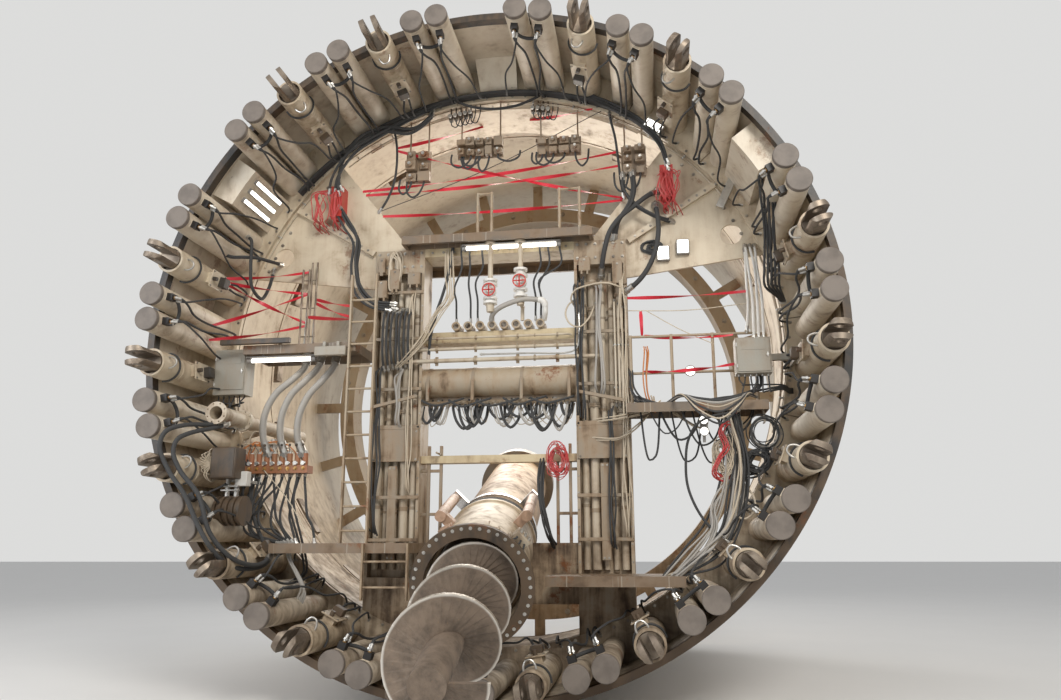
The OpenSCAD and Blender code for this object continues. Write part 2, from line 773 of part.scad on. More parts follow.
// Cabinets hung from the ring's face by an arm: side, x0, x1, low z, high z
cabinet_rows = [
    [1, skin_r - 1270, skin_r - 840, -520, -70],
    [-1, skin_r - 1050, skin_r - 600, -600, 20]
];
cabinet_y = 650;
cabinet_depth = 250;
arm_x = ring_in_r + 55;
arm_w = 40;
arm_h = 80;
arm_z = -340;
module cabinet(x0, x1, z0, z1) {
    span([x0, cabinet_y, z0], [x1, cabinet_y + cabinet_depth, z1]);
    span([x1 - 20, cabinet_y + 130, arm_z], [arm_x, cabinet_y + 200, arm_z + arm_h]);
    span([arm_x - arm_w, cabinet_y + 130, arm_z], [arm_x, ring_y - seat_gap, arm_z + arm_h]);
}

module control_boxes() color([0.52, 0.50, 0.44]) on_axis()
    for (row = cabinet_rows) mirror([row[0] < 0 ? 1 : 0, 0, 0])
        cabinet(row[1], row[2], row[3], row[4]);

// Grease distributors on the face of the haunches: inner x, low z
grease_at = [2300, 2090];
grease_size = [180, 220, 470];
module grease_units() color([0.62, 0.10, 0.08]) on_axis()
    for (s = [-1, 1]) mirror([s < 0 ? 1 : 0, 0, 0])
        translate([grease_at[0], haunch_y - seat_gap - grease_size[1], grease_at[1]])
            cube(grease_size);

// Lamp with two hangers up to the deck plate above it
tube_lamp_depth = 110;
tube_lamp_h = 95;
// Lamp under the left deck: its ends from the deck's end, distance behind the deck's front
deck_lamp_x = [20, 980];
deck_lamp_y = 60;
hanger_w = 30;
module tube_lamp(x0, x1, y, top) {
    low = top - deck_t;
    span([x0, y, low - tube_lamp_h - 5], [x1, y + tube_lamp_depth, low - 5]);
    for (x = [x0 + 120, x1 - 150])
        span([x, y + 40, low - 10], [x + hanger_w, y + 40 + hanger_w, top - deck_plate - seat_gap]);
}

// Strip lamps on the cover of the bay at the upper left: offset along the arc
strip_lamp_offsets = [-130, 20, 170];
strip_lamp = [60, 760, 45];
strip_lamp_y = 330;
// Square lamps on the right haunch plate: x, z
square_lamp_rows = [[2210, 1210], [2480, 1290]];
square_lamp = [190, 90, 230];
// Round lamp on the railing of the right deck: radius, thickness, distance from the deck's end
round_lamp_r = 75;
round_lamp_t = 60;
round_lamp_in = 830;
// Twin round lamps on a post under the right deck: distance from the deck's end, drops below its plate
twin_lamp_in = 940;
twin_lamp_drops = [230, 370];
twin_post = [36, 36, 460];
module lamps() color([0.95, 0.95, 0.92]) on_axis() {
    mid = right_deck_rows[1];
    tube_lamp(-500, 900, frame_y - 170, column_top + deck_t);
    left = left_deck_rows[1];
    tube_lamp(left[0] + deck_lamp_x[0], left[0] + deck_lamp_x[1], left[2] + deck_lamp_y, left[3]);
    at_angle(bay_a(covered_bays[0])) for (off = strip_lamp_offsets)
        at_angle(off / (skin_in_r - cover_height) * 180 / PI)
            translate([skin_in_r - 2 - cover_height - seat_gap - strip_lamp[2],
                       strip_lamp_y, -strip_lamp[0] / 2])
                cube([strip_lamp[2], strip_lamp[1], strip_lamp[0]]);
    at_angle(flood_angle)
        span([ring_in_r - flood_in, ring_y - seat_gap - flood_len, -flood_w / 2],
             [ring_in_r + flood_out, ring_y - seat_gap, flood_w / 2]);
    for (row = square_lamp_rows)
        translate([row[0], haunch_y - seat_gap - square_lamp[1], row[1]]) cube(square_lamp);
    rail_front = railing_rows[0][2] - rail_d / 2 + 3;
    translate([mid[0] + round_lamp_in, 0, mid[3] + railing_rows[0][4] / 2 - rail_d / 2])
        rod_y(rail_front - seat_gap - round_lamp_t, rail_front - seat_gap, round_lamp_r);
    post_y = mid[2] + deck_plate + seat_gap;
    post_top = mid[3] - deck_plate - seat_gap;
    translate([mid[0] + twin_lamp_in - twin_post[0] / 2, post_y, post_top - twin_post[2]]) cube(twin_post);
    for (drop = twin_lamp_drops)
        translate([mid[0] + twin_lamp_in, 0, post_top - drop])
            rod_y(post_y - round_lamp_t, post_y + 5, round_lamp_r - 15);
}

// Flood lamp on the ring's face: angle, height inside and outside the ring's edge, width, length
flood_angle = 54.5;
flood_in = 80;
flood_out = 85;
flood_w = 300;
flood_len = 230;

// Screw conveyor, drawn along local +Z from the plane of the jack caps

screw_x = 38;
screw_z = -3088;
module screw_line() on_axis()
    translate([screw_x, -cap_reach, screw_z])
        rotate([0, 0, screw_skew]) rotate([screw_rise, 0, 0]) rotate([-90, 0, 0])
            children();

flange_at = 186;
casing_r = casing_bore_d / 2 + casing_wall;
tube_out_r = tube_bore_d / 2 + tube_wall;
tube_at = flange_at + 420;
tube_end = flange_at + screw_len;

module screw_flange() color([0.05, 0.05, 0.05]) screw_line() difference() {
    translate([0, 0, flange_at]) cylinder(h = flange_t, r = flange_d / 2);
    translate([0, 0, flange_at - cut]) cylinder(h = flange_t + 2 * cut, r = casing_bore_d / 2);
    for (i = [0:flange_bolts - 1])
        rotate([0, 0, i * 360 / flange_bolts]) translate([flange_pcd / 2, 0, flange_at - cut])
            cylinder(h = flange_t + 2 * cut, r = flange_hole_d / 2, $fn = 24);
}

// Front casing with a stiffening band near its back
casing_at = flange_at + flange_t + seat_gap;
band_at = casing_at + casing_len - 120;
band_len = 60;
band_h = 25;
module screw_casing() color([0.76, 0.68, 0.55]) screw_line() difference() {
    union() {
        translate([0, 0, casing_at]) cylinder(h = casing_len, r = casing_r);
        translate([0, 0, band_at]) cylinder(h = band_len, r = casing_r + band_h);
    }
    translate([0, 0, casing_at - cut]) cylinder(h = casing_len + 2 * cut, r = casing_bore_d / 2);
}

seal_at = casing_at + casing_len + seat_gap;
seal_len = 130;
module screw_seal() color([0.10, 0.09, 0.09]) screw_line() difference() {
    translate([0, 0, seal_at]) cylinder(h = seal_len, r = casing_r + 15);
    translate([0, 0, seal_at - cut]) cylinder(h = seal_len + 2 * cut, r = tube_out_r + run_gap);
}

module screw_tube() color([0.78, 0.62, 0.45]) screw_line() difference() {
    translate([0, 0, tube_at]) cylinder(h = tube_end - tube_at, r = tube_out_r);
    translate([0, 0, tube_at - cut]) cylinder(h = tube_end - tube_at + 2 * cut, r = tube_bore_d / 2);
}

// One face of the flight: points that climb around the shaft
flight_steps = 32;
flight_in_r = (shaft_d / 2 + seat_gap) / cos(180 / flight_steps);
function helix_ring(r, z0, turns, t) = [
    for (i = [0:flight_steps * turns])
        [r * cos(i * 360 / flight_steps), r * sin(i * 360 / flight_steps),
         z0 + i * flight_pitch / flight_steps + t]
];
module flight(z0, turns) {
    n = flight_steps * turns;
    lo_in = helix_ring(flight_in_r, z0, turns, 0);
    lo_out = helix_ring(flight_d / 2, z0, turns, 0);
    hi_out = helix_ring(flight_d / 2, z0, turns, flight_t);
    hi_in = helix_ring(flight_in_r, z0, turns, flight_t);
    m = n + 1;
    polyhedron(
        points = concat(lo_in, lo_out, hi_out, hi_in),
        faces = concat(
            [[3 * m, 2 * m, m, 0]],
            [[n, m + n, 2 * m + n, 3 * m + n]],
            [for (j = [0:3]) for (i = [0:n - 1]) [
                j * m + i, ((j + 1) % 4) * m + i + 1, j * m + i + 1]],
            [for (j = [0:3]) for (i = [0:n - 1]) [
                j * m + i, ((j + 1) % 4) * m + i, ((j + 1) % 4) * m + i + 1]]
        )
    );
}

auger_start = flange_at - bare_len;
auger_turns = floor((tube_end - 500 - auger_start) / flight_pitch);
// Bare end of the shaft ahead of the flight, and its length in the drive
shaft_nose = 60;
shaft_socket = 200;
module auger() color([0.22, 0.17, 0.13]) screw_line() {
    translate([0, 0, auger_start - shaft_nose])
        cylinder(h = tube_end + shaft_socket - auger_start + shaft_nose, r = shaft_d / 2);
    flight(auger_start, auger_turns);
}

// Gearbox on the back of the tube with its ring of motors
drive_len = 320;
drive_rim = 130;
motor_count = 6;
motor_pitch_r = 430;
motor_r = 120;
motor_len = 380;
module screw_drive() color([0.45, 0.42, 0.38]) screw_line() {
    difference() {
        translate([0, 0, tube_end + seat_gap]) cylinder(h = drive_len, r = tube_out_r + drive_rim);
        translate([0, 0, tube_end - cut])
            cylinder(h = cut + shaft_socket + 2 * cut, r = shaft_d / 2 + run_gap);
    }
    for (i = [0:motor_count - 1]) rotate([0, 0, (i + 0.5) * 360 / motor_count])
        translate([motor_pitch_r, 0, tube_end + drive_len - cut])
            cylinder(h = motor_len + cut, r = motor_r);
}

// Yoke between the columns, bored along the screw for its casing
cradle_ahead = 100;
cradle_t = 90;
cradle_low = -3330;
cradle_high = -2560;
module screw_cradle() color([0.60, 0.53, 0.43]) difference() {
    in_x = column_in_x - seat_gap;
    on_axis() span([-in_x, frame_y + cradle_ahead, cradle_low],
                   [in_x, frame_y + cradle_ahead + cradle_t, cradle_high]);
    screw_line() cylinder(h = casing_at + casing_len, r = casing_r + seat_gap);
}

// Cylinders that draw the screw back, at the upper sides of the casing
retract_r = 770;
retract_angle = 45;
retract_at = casing_at + 1100;
retract_len = screw_stroke + 250;
retract_barrel_r = 70;
retract_rod_r = 45;
retract_cap = 60;
lug_w = 120;
module beside_casing() for (s = [-1, 1])
    rotate([0, 0, -90 + s * (90 - retract_angle)]) translate([retract_r, 0, 0]) children();

module retract_barrels() color([0.72, 0.56, 0.50]) screw_line() difference() {
    beside_casing() {
        translate([0, 0, retract_at]) cylinder(h = retract_len, r = retract_barrel_r);
        span([casing_r - retract_r + 2, -lug_w / 2, retract_at + retract_cap],
             [0, lug_w / 2, retract_at + retract_cap + lug_w]);
    }
    beside_casing() translate([0, 0, retract_at + retract_cap])
        cylinder(h = retract_len, r = retract_rod_r);
    cylinder(h = casing_at + casing_len, r = casing_r + seat_gap);
}

// Collar on the sliding tube that the rods pull
collar_at = retract_at + retract_len + 120;
collar_len = 110;
collar_h = 50;
module retract_rods() color([0.70, 0.70, 0.70]) screw_line() difference() {
    union() {
        beside_casing() {
            translate([0, 0, retract_at + retract_cap + 20])
                cylinder(h = collar_at + collar_len - retract_at - retract_cap - 20 + 10,
                         r = retract_rod_r - run_gap);
            span([tube_out_r - retract_r + 2, -70, collar_at], [60, 70, collar_at + collar_len]);
        }
        translate([0, 0, collar_at]) cylinder(h = collar_len, r = tube_out_r + collar_h);
    }
    translate([0, 0, collar_at - cut]) cylinder(h = collar_len + 2 * cut, r = tube_out_r + seat_gap);
}

// Hoses

hose_r = 22;
module port_hoses() color([0.05, 0.05, 0.05]) on_axis()
    for (k = [0:pair_count - 1]) at_angle(pair_a(k)) {
        half = jack_pitch_r * sin(pair_half_angle);
        translate([jack_pitch_r * cos(pair_half_angle) - barrel_r - port_h / 2,
                   port_y + port_len / 2 + seat_gap, 0])
            rotate([0, -90, 0])
                rotate_extrude(angle = 180) translate([half, 0]) circle(r = hose_r, $fn = 24);
    }

// Bundle that follows the ring's inner edge over the top
bundle_count = 3;
bundle_hose_r = 24;
bundle_start = 60;
bundle_sweep = 80;
bundle_height = 60;
module ring_hoses() color([0.05, 0.05, 0.05]) on_axis()
    for (i = [0:bundle_count - 1])
        translate([0, ring_y - (i + 0.5) * (2 * bundle_hose_r + seat_gap), 0]) rotate([-90, 0, 0])
            rotate([0, 0, -bundle_start - bundle_sweep])
                rotate_extrude(angle = bundle_sweep, $fn = 360)
                    translate([ring_in_r + bundle_height, 0]) circle(r = bundle_hose_r, $fn = 24);

rim_ring();
middle_skin();
jack_ring();
jack_barrels();
bay_covers();
jack_rods(group_top);  // jack_rods_top
jack_rods(group_left);  // jack_rods_left
jack_rods(group_bottom);  // jack_rods_bottom
jack_rods(group_right);  // jack_rods_right
jack_shoes(group_top);  // jack_shoes_top
jack_shoes(group_left);  // jack_shoes_left
jack_shoes(group_bottom);  // jack_shoes_bottom
jack_shoes(group_right);  // jack_shoes_right
ram_barrels();
rams(rams_in_top);  // rams_top
rams(rams_in_left);  // rams_left
rams(rams_in_bottom);  // rams_bottom
rams(rams_in_right);  // rams_right
tail_joint();
tail_skin();
tail_ring();
columns();
haunches();
cross_beams();
tie_beam();
top_walkway();
left_decks();
right_decks();
ladders();
railings();
pipe_runs();
valve_row();
valve_bank();
control_boxes();
grease_units();
lamps();
screw_flange();
screw_casing();
screw_seal();
screw_cradle();
screw_tube();
auger();
screw_drive();
retract_barrels();
retract_rods();
port_hoses();
ring_hoses();
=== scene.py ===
"""Looks of a tunnel boring machine's middle shield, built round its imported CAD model."""

import math
import random

import bmesh
import bpy
from bpy.props import (
    FloatProperty,
    FloatVectorProperty,
    IntProperty,
    PointerProperty,
)
from mathutils import Euler, Matrix, Vector


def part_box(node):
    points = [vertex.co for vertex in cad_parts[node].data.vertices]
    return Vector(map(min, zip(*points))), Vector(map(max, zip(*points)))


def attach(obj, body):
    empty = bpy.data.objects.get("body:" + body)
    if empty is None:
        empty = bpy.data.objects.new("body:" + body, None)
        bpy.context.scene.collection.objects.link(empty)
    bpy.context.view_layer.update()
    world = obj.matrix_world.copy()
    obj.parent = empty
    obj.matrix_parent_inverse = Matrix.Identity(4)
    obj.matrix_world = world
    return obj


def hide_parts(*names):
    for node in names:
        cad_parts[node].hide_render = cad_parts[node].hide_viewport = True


bl_info = {
    "name": "Tunnel Machine Middle Shield",
    "version": (1, 0, 0),
    "blender": (4, 5, 0),
    "location": "View3D > Sidebar > Shield",
    "description": "Dresses the middle shield with finishes, bolts, hoses and lamps",
    "category": "Object",
}

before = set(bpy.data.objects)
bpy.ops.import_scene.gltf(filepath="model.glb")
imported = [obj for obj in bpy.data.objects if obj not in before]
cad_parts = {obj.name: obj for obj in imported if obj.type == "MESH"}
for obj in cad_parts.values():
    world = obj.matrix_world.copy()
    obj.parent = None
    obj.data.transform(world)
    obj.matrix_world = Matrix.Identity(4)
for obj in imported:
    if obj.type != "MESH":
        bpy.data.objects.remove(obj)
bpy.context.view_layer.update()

# Frame of the shield, in metres
AXIS_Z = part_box("rim_ring")[1].z / 2
SKIN_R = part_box("rim_ring")[1].x
CAP_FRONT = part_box("jack_barrels")[0].y
RING_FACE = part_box("jack_ring")[0].y
RING_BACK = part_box("jack_ring")[1].y
RING_IN_R = SKIN_R - 0.55
JACK_PITCH_R = SKIN_R - 0.27
RAM_BARREL_R = 0.175
RAM_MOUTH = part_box("ram_barrels")[0].y
PAIR_COUNT = 19
PAIR_STEP = math.tau / PAIR_COUNT
PAIR_HALF_ANGLE = math.asin(0.331 / 2 / JACK_PITCH_R)
OPEN_BAY = 0
COVERED_BAYS = (3, 16)
RAM_BAYS = tuple(k for k in range(PAIR_COUNT) if k not in (OPEN_BAY, *COVERED_BAYS))
COLUMN_IN_X = 1.07
COLUMN_OUT_X = 1.79
COLUMN_TOP = AXIS_Z + 1.56
COLUMN_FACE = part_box("columns")[0].y
HAUNCH_FACE = COLUMN_FACE + 0.06
TAIL_RING_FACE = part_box("tail_ring")[0].y

# Line of the screw conveyor
SCREW_ORIGIN = Vector((0.038, CAP_FRONT, AXIS_Z - 3.088))
SCREW_RISE = math.radians(13.8)
SCREW_SKEW = math.radians(4.5)
SCREW_TURN = Euler((SCREW_RISE - math.pi / 2, 0, SCREW_SKEW)).to_matrix()
SCREW_FRAME = Matrix.Translation(SCREW_ORIGIN) @ SCREW_TURN.to_4x4()
SCREW_DIRECTION = SCREW_TURN @ Vector((0, 0, 1))
FLANGE_AT = 0.186
FLANGE_T = 0.070
FLANGE_PCD = 1.310
FLANGE_BOLTS = 40
CASING_R = 0.580

# Places where hoses and boxes meet what carries them
COLUMN_HOLD = 1.30
HAUNCH_HOLD = 1.338
RIGHT_DECK_UNDER = 3.54
LOWER_DECK_TOP = 1.45
LEFT_DECK_UNDER = 2.745
WALKWAY_UNDER = 5.965
VALVE_ROW_TOP = 4.86

AHEAD = Vector((0, -1, 0))
UP = Vector((0, 0, 1))
ACROSS = Vector((1, 0, 0))


def pair_angle(k):
    """Angle of jack pair k, from +X towards +Z."""
    return math.pi / 2 + PAIR_STEP * (k + 0.5)


def bay_angle(k):
    """Angle of the bay between two pairs."""
    return math.pi / 2 + PAIR_STEP * k


def ring_frame(angle):
    """Frame at the shield axis: X across, Y along the axis, Z outwards."""
    across = Vector((math.sin(angle), 0, -math.cos(angle)))
    outward = Vector((math.cos(angle), 0, math.sin(angle)))
    turn = Matrix((across, Vector((0, 1, 0)), outward)).transposed()
    return Matrix.Translation((0, 0, AXIS_Z)) @ turn.to_4x4()


def ring_point(radius, angle, y):
    """Point at a radius and an angle round the shield axis."""
    return ring_frame(angle) @ Vector((0, y, radius))


# Node trees


class Signal:
    """A socket whose arithmetic adds Math nodes."""

    def __init__(self, tree, socket):
        self.tree = tree
        self.socket = socket

    def _math(self, operation, *values):
        return self.tree.math(operation, *values)

    def __add__(self, other):
        return self._math("ADD", self, other)

    def __radd__(self, other):
        return self._math("ADD", other, self)

    def __sub__(self, other):
        return self._math("SUBTRACT", self, other)

    def __rsub__(self, other):
        return self._math("SUBTRACT", other, self)

    def __mul__(self, other):
        return self._math("MULTIPLY", self, other)

    def __truediv__(self, other):
        return self._math("DIVIDE", self, other)

    def __neg__(self):
        return self._math("MULTIPLY", self, -1)

    def sqrt(self):
        return self._math("SQRT", self)

    def above(self, low, high):
        """0 below low, 1 above high, smooth between."""
        return self.tree.ramp(self, low, high)

    def below(self, low, high):
        """1 below low, 0 above high, smooth between."""
        return 1 - self.above(low, high)

    def between(self, low, high, soft):
        """1 from low to high, with soft edges."""
        return self.above(low - soft, low) * self.below(high, high + soft)


class NodeBench:
    """Adds nodes to a tree; finishes and growths are built on it."""

    def __init__(self, tree):
        self.tree = tree

    def node(self, kind, settings=None, inputs=None):
        """Adds a node, sets its settings, then the values or links of its sockets."""
        made = self.tree.nodes.new(kind)
        for name, value in (settings or {}).items():
            if name == "stops":
                self._set_stops(made.color_ramp, value)
            else:
                setattr(made, name, value)
        for name, value in (inputs or {}).items():
            self._feed(self._find(made.inputs, name), value)
        return made

    def _feed(self, socket, value):
        if isinstance(value, Signal):
            value = value.socket
        if isinstance(value, list):
            for part in value:
                self._feed(socket, part)
        elif isinstance(value, bpy.types.NodeSocket):
            self.tree.links.new(value, socket)
        else:
            socket.default_value = value

    @staticmethod
    def _find(sockets, name):
        if isinstance(name, int):
            return sockets[name]
        for socket in sockets:
            if socket.identifier == name:
                return socket
        return sockets[name]

    @staticmethod
    def _set_stops(color_ramp, stops):
        while len(color_ramp.elements) < len(stops):
            color_ramp.elements.new(1.0)
        for element, (position, colour) in zip(color_ramp.elements, stops):
            element.position = position
            element.color = (*colour, 1)

    def math(self, operation, *values):
        made = self.node("ShaderNodeMath", {"operation": operation}, dict(enumerate(values)))
        return Signal(self, made.outputs[0])


class Finish(NodeBench):
    """Builds one procedural material."""

    def __init__(self, name):
        self.material = bpy.data.materials.new(name)
        self.material.use_nodes = True
        super().__init__(self.material.node_tree)
        self.tree.nodes.clear()
        self.place = self.node("ShaderNodeTexCoord").outputs["Object"]
        parts = self.node("ShaderNodeSeparateXYZ", {}, {"Vector": self.place})
        self.x, self.y, self.z = (Signal(self, parts.outputs[i]) for i in range(3))

    def ramp(self, value, low, high):
        made = self.node(
            "ShaderNodeMapRange",
            {"interpolation_type": "SMOOTHSTEP"},
            {"Value": value, "From Min": low, "From Max": high},
        )
        return Signal(self, made.outputs["Result"])

    def mapped(self, scale=(1, 1, 1), shift=(0, 0, 0)):
        made = self.node("ShaderNodeMapping", {}, {"Vector": self.place, "Scale": scale, "Location": shift})
        return made.outputs["Vector"]

    def noise(self, scale, detail=4, rough=0.55, stretch=None, shift=(0, 0, 0), bend=0):
        source = self.place
        if stretch or any(shift):
            source = self.mapped(scale=stretch or (1, 1, 1), shift=shift)
        made = self.node(
            "ShaderNodeTexNoise",
            {},
            {
                "Vector": source,
                "Scale": scale,
                "Detail": detail,
                "Roughness": rough,
                "Distortion": bend,
            },
        )
        return Signal(self, made.outputs[0])

    def cells(self, scale, stretch):
        """Distance to the nearest of scattered points."""
        source = self.mapped(scale=stretch)
        made = self.node("ShaderNodeTexVoronoi", {}, {"Vector": source, "Scale": scale})
        return Signal(self, made.outputs["Distance"])

    def blend(self, factor, first, second):
        """Mixes two colours."""
        made = self.node(
            "ShaderNodeMix",
            {"data_type": "RGBA"},
            {
                "Factor_Float": factor,
                "A_Color": self.colour(first),
                "B_Color": self.colour(second),
            },
        )
        return self._find(made.outputs, "Result_Color")

    @staticmethod
    def colour(value):
        if isinstance(value, (bpy.types.NodeSocket, Signal)):
            return value
        return (*value, 1)

    def bump(self, height, strength, distance):
        made = self.node(
            "ShaderNodeBump",
            {},
            {"Height": height, "Strength": strength, "Distance": distance},
        )
        return made.outputs["Normal"]

    def axis_radius(self):
        """Distance from the shield axis."""
        rise = self.z - AXIS_Z
        return (self.x * self.x + rise * rise).sqrt()

    def screw_radius(self):
        """Distance from the screw's axis."""
        local = self.node(
            "ShaderNodeVectorMath",
            {"operation": "SUBTRACT"},
            {0: self.place, 1: tuple(SCREW_ORIGIN)},
        ).outputs[0]
        crossed = self.node(
            "ShaderNodeVectorMath",
            {"operation": "CROSS_PRODUCT"},
            {0: local, 1: tuple(SCREW_DIRECTION)},
        ).outputs[0]
        length = self.node("ShaderNodeVectorMath", {"operation": "LENGTH"}, {0: crossed})
        return Signal(self, length.outputs["Value"])

    def surface(self, colour, roughness, metallic=0.0, normal=None, **extra):
        sockets = {"Base Color": self.colour(colour), "Roughness": roughness, "Metallic": metallic}
        if normal is not None:
            sockets["Normal"] = normal
        sockets.update(extra)
        shader = self.node("ShaderNodeBsdfPrincipled", {}, sockets)
        self.node("ShaderNodeOutputMaterial", {}, {"Surface": shader.outputs["BSDF"]})
        return self.material


class Growth(NodeBench):
    """Builds one geometry tree whose sizes are named inputs."""

    def __init__(self, name):
        super().__init__(bpy.data.node_groups.new(name, "GeometryNodeTree"))
        for side in ("INPUT", "OUTPUT"):
            self.tree.interface.new_socket("Geometry", in_out=side, socket_type="NodeSocketGeometry")
        self.enter = self.node("NodeGroupInput")
        self.leave = self.node("NodeGroupOutput")

    @property
    def given(self):
        return self.enter.outputs["Geometry"]

    def size(self, name, default, kind="Float"):
        """Adds a named input and gives its socket."""
        made = self.tree.interface.new_socket(name, in_out="INPUT", socket_type="NodeSocket" + kind)
        if default is not None:
            made.default_value = default
        return Signal(self, self.enter.outputs[name])

    def stored(self, name, kind):
        made = self.node("GeometryNodeInputNamedAttribute", {"data_type": kind}, {"Name": name})
        return made.outputs["Attribute"]

    def vector(self, x, y, z):
        made = self.node("ShaderNodeCombineXYZ", {}, {0: x, 1: y, 2: z})
        return made.outputs[0]

    def moved(self, geometry, **change):
        """Geometry moved or turned, by Translation or Rotation."""
        made = self.node("GeometryNodeTransform", {}, {"Geometry": geometry, **change})
        return made.outputs[0]

    def drum(self, sides, radius, depth, low=0.0):
        """Cylinder along Z that stands on the height low."""
        sizes = {"Vertices": sides, "Radius": radius, "Depth": depth}
        made = self.node("GeometryNodeMeshCylinder", {}, sizes)
        lift = self.vector(0.0, 0.0, self.math("MULTIPLY_ADD", depth, 0.5, low))
        return self.moved(made.outputs["Mesh"], Translation=lift)

    def brick(self, size, place):
        """Block with its middle at a place."""
        made = self.node("GeometryNodeMeshCube", {}, {"Size": size})
        return self.moved(made.outputs["Mesh"], Translation=place)

    def joined(self, *parts):
        made = self.node("GeometryNodeJoinGeometry", {}, {0: list(parts)})
        return made.outputs[0]

    def scattered(self, unit):
        """One unit on each given point, its Z along aim and its X along side."""
        aimed = self.node(
            "FunctionNodeAlignRotationToVector",
            {"axis": "Z"},
            {"Vector": self.stored("aim", "FLOAT_VECTOR")},
        )
        turned = self.node(
            "FunctionNodeAlignRotationToVector",
            {"axis": "X", "pivot_axis": "Z"},
            {
                "Rotation": aimed.outputs[0],
                "Vector": self.stored("side", "FLOAT_VECTOR"),
            },
        )
        made = self.node(
            "GeometryNodeInstanceOnPoints",
            {},
            {
                "Points": self.given,
                "Instance": unit,
                "Rotation": turned.outputs[0],
                "Scale": self.stored("size", "FLOAT"),
            },
        )
        return made.outputs[0]

    def done(self, geometry):
        """Ends the tree: instances made real and the material set."""
        material = self.size("Material", None, "Material")
        real = self.node("GeometryNodeRealizeInstances", {}, {0: geometry})
        dressed = self.node(
            "GeometryNodeSetMaterial",
            {},
            {"Geometry": real.outputs[0], "Material": material},
        )
        self.tree.links.new(dressed.outputs[0], self.leave.inputs[0])
        return self.tree


def hose_growth():
    """Round hose along every given line."""
    growth = Growth("hose")
    sides = growth.size("Sides", 8, "Int")
    line = growth.node("GeometryNodeMeshToCurve", {}, {0: growth.given})
    ring = growth.node("GeometryNodeCurvePrimitiveCircle", {}, {"Resolution": sides, "Radius": 1.0})
    swept = growth.node(
        "GeometryNodeCurveToMesh",
        {},
        {
            "Curve": line.outputs[0],
            "Profile Curve": ring.outputs[0],
            "Scale": growth.stored("size", "FLOAT"),
            "Fill Caps": True,
        },
    )
    return growth.done(swept.outputs[0])


def bolt_growth():
    """Hexagon bolt on its washer; a unit is the head's radius."""
    growth = Growth("bolt")
    height = growth.size("Head Height", 0.75)
    washer = growth.size("Washer Radius", 1.45)
    thickness = growth.size("Washer Height", 0.18)
    head = growth.drum(6, 1.0, height, thickness)
    plate = growth.drum(16, washer, thickness)
    stud = growth.drum(10, 0.55, height + 0.35, thickness)
    return growth.done(growth.scattered(growth.joined(head, plate, stud)))


def clamp_growth():
    """Pipe clamp on a foot, its X along the pipe; a unit is the pipe's radius."""
    growth = Growth("clamp")
    width = growth.size("Width", 1.6)
    band = growth.size("Band", 1.25)
    foot = growth.size("Foot", 1.6)
    plate = growth.brick(growth.vector(width, band * 3.6, 0.4), growth.vector(0.0, 0.0, -foot + 0.2))
    block = growth.brick(growth.vector(width, band * 2, foot), growth.vector(0.0, 0.0, -foot / 2))
    saddle = growth.moved(growth.drum(12, band, width, -width / 2), Rotation=(0.0, math.pi / 2, 0.0))
    ears = [
        growth.moved(
            growth.drum(6, 0.35, 0.5), Translation=growth.vector(0.0, band * way, -foot + 0.4)
        )
        for way in (-1.5, 1.5)
    ]
    return growth.done(growth.scattered(growth.joined(plate, block, saddle, *ears)))


def fitting_growth():
    """Swaged hose end with its nut; a unit is the hose's radius."""
    growth = Growth("fitting")
    length = growth.size("Ferrule Length", 3.4)
    ferrule = growth.drum(12, 1.3, length, 0.6)
    nut = growth.drum(6, 1.75, 1.3, -0.5)
    stub = growth.drum(10, 1.0, 1.6, -1.6)
    return growth.done(growth.scattered(growth.joined(ferrule, nut, stub)))


FLANGE_UNIT_BOLTS = 6


def flange_growth():
    """Pair of pipe flanges with bolts, its Z along the pipe; a unit is the pipe's radius."""
    growth = Growth("flange")
    reach = growth.size("Flange Radius", 1.55)
    plates = [growth.drum(20, reach, 0.32, low) for low in (-0.36, 0.04)]
    bolts = []
    for i in range(FLANGE_UNIT_BOLTS):
        turn = math.tau * i / FLANGE_UNIT_BOLTS
        place = growth.vector(math.cos(turn) * 1.27, math.sin(turn) * 1.27, 0.0)
        bolts.append(growth.moved(growth.drum(6, 0.16, 1.2, -0.6), Translation=place))
    return growth.done(growth.scattered(growth.joined(*plates, *bolts)))


GROWTHS = {
    "hose": hose_growth,
    "bolt": bolt_growth,
    "clamp": clamp_growth,
    "fitting": fitting_growth,
    "flange": flange_growth,
}


# Finishes

GRIME = (0.085, 0.055, 0.034)
OCHRE = (0.33, 0.20, 0.095)
RUST = (0.20, 0.075, 0.028)
DUST = (0.42, 0.37, 0.30)


def shade(colour, factor):
    """A darker tone of a colour."""
    return tuple(part * factor for part in colour)


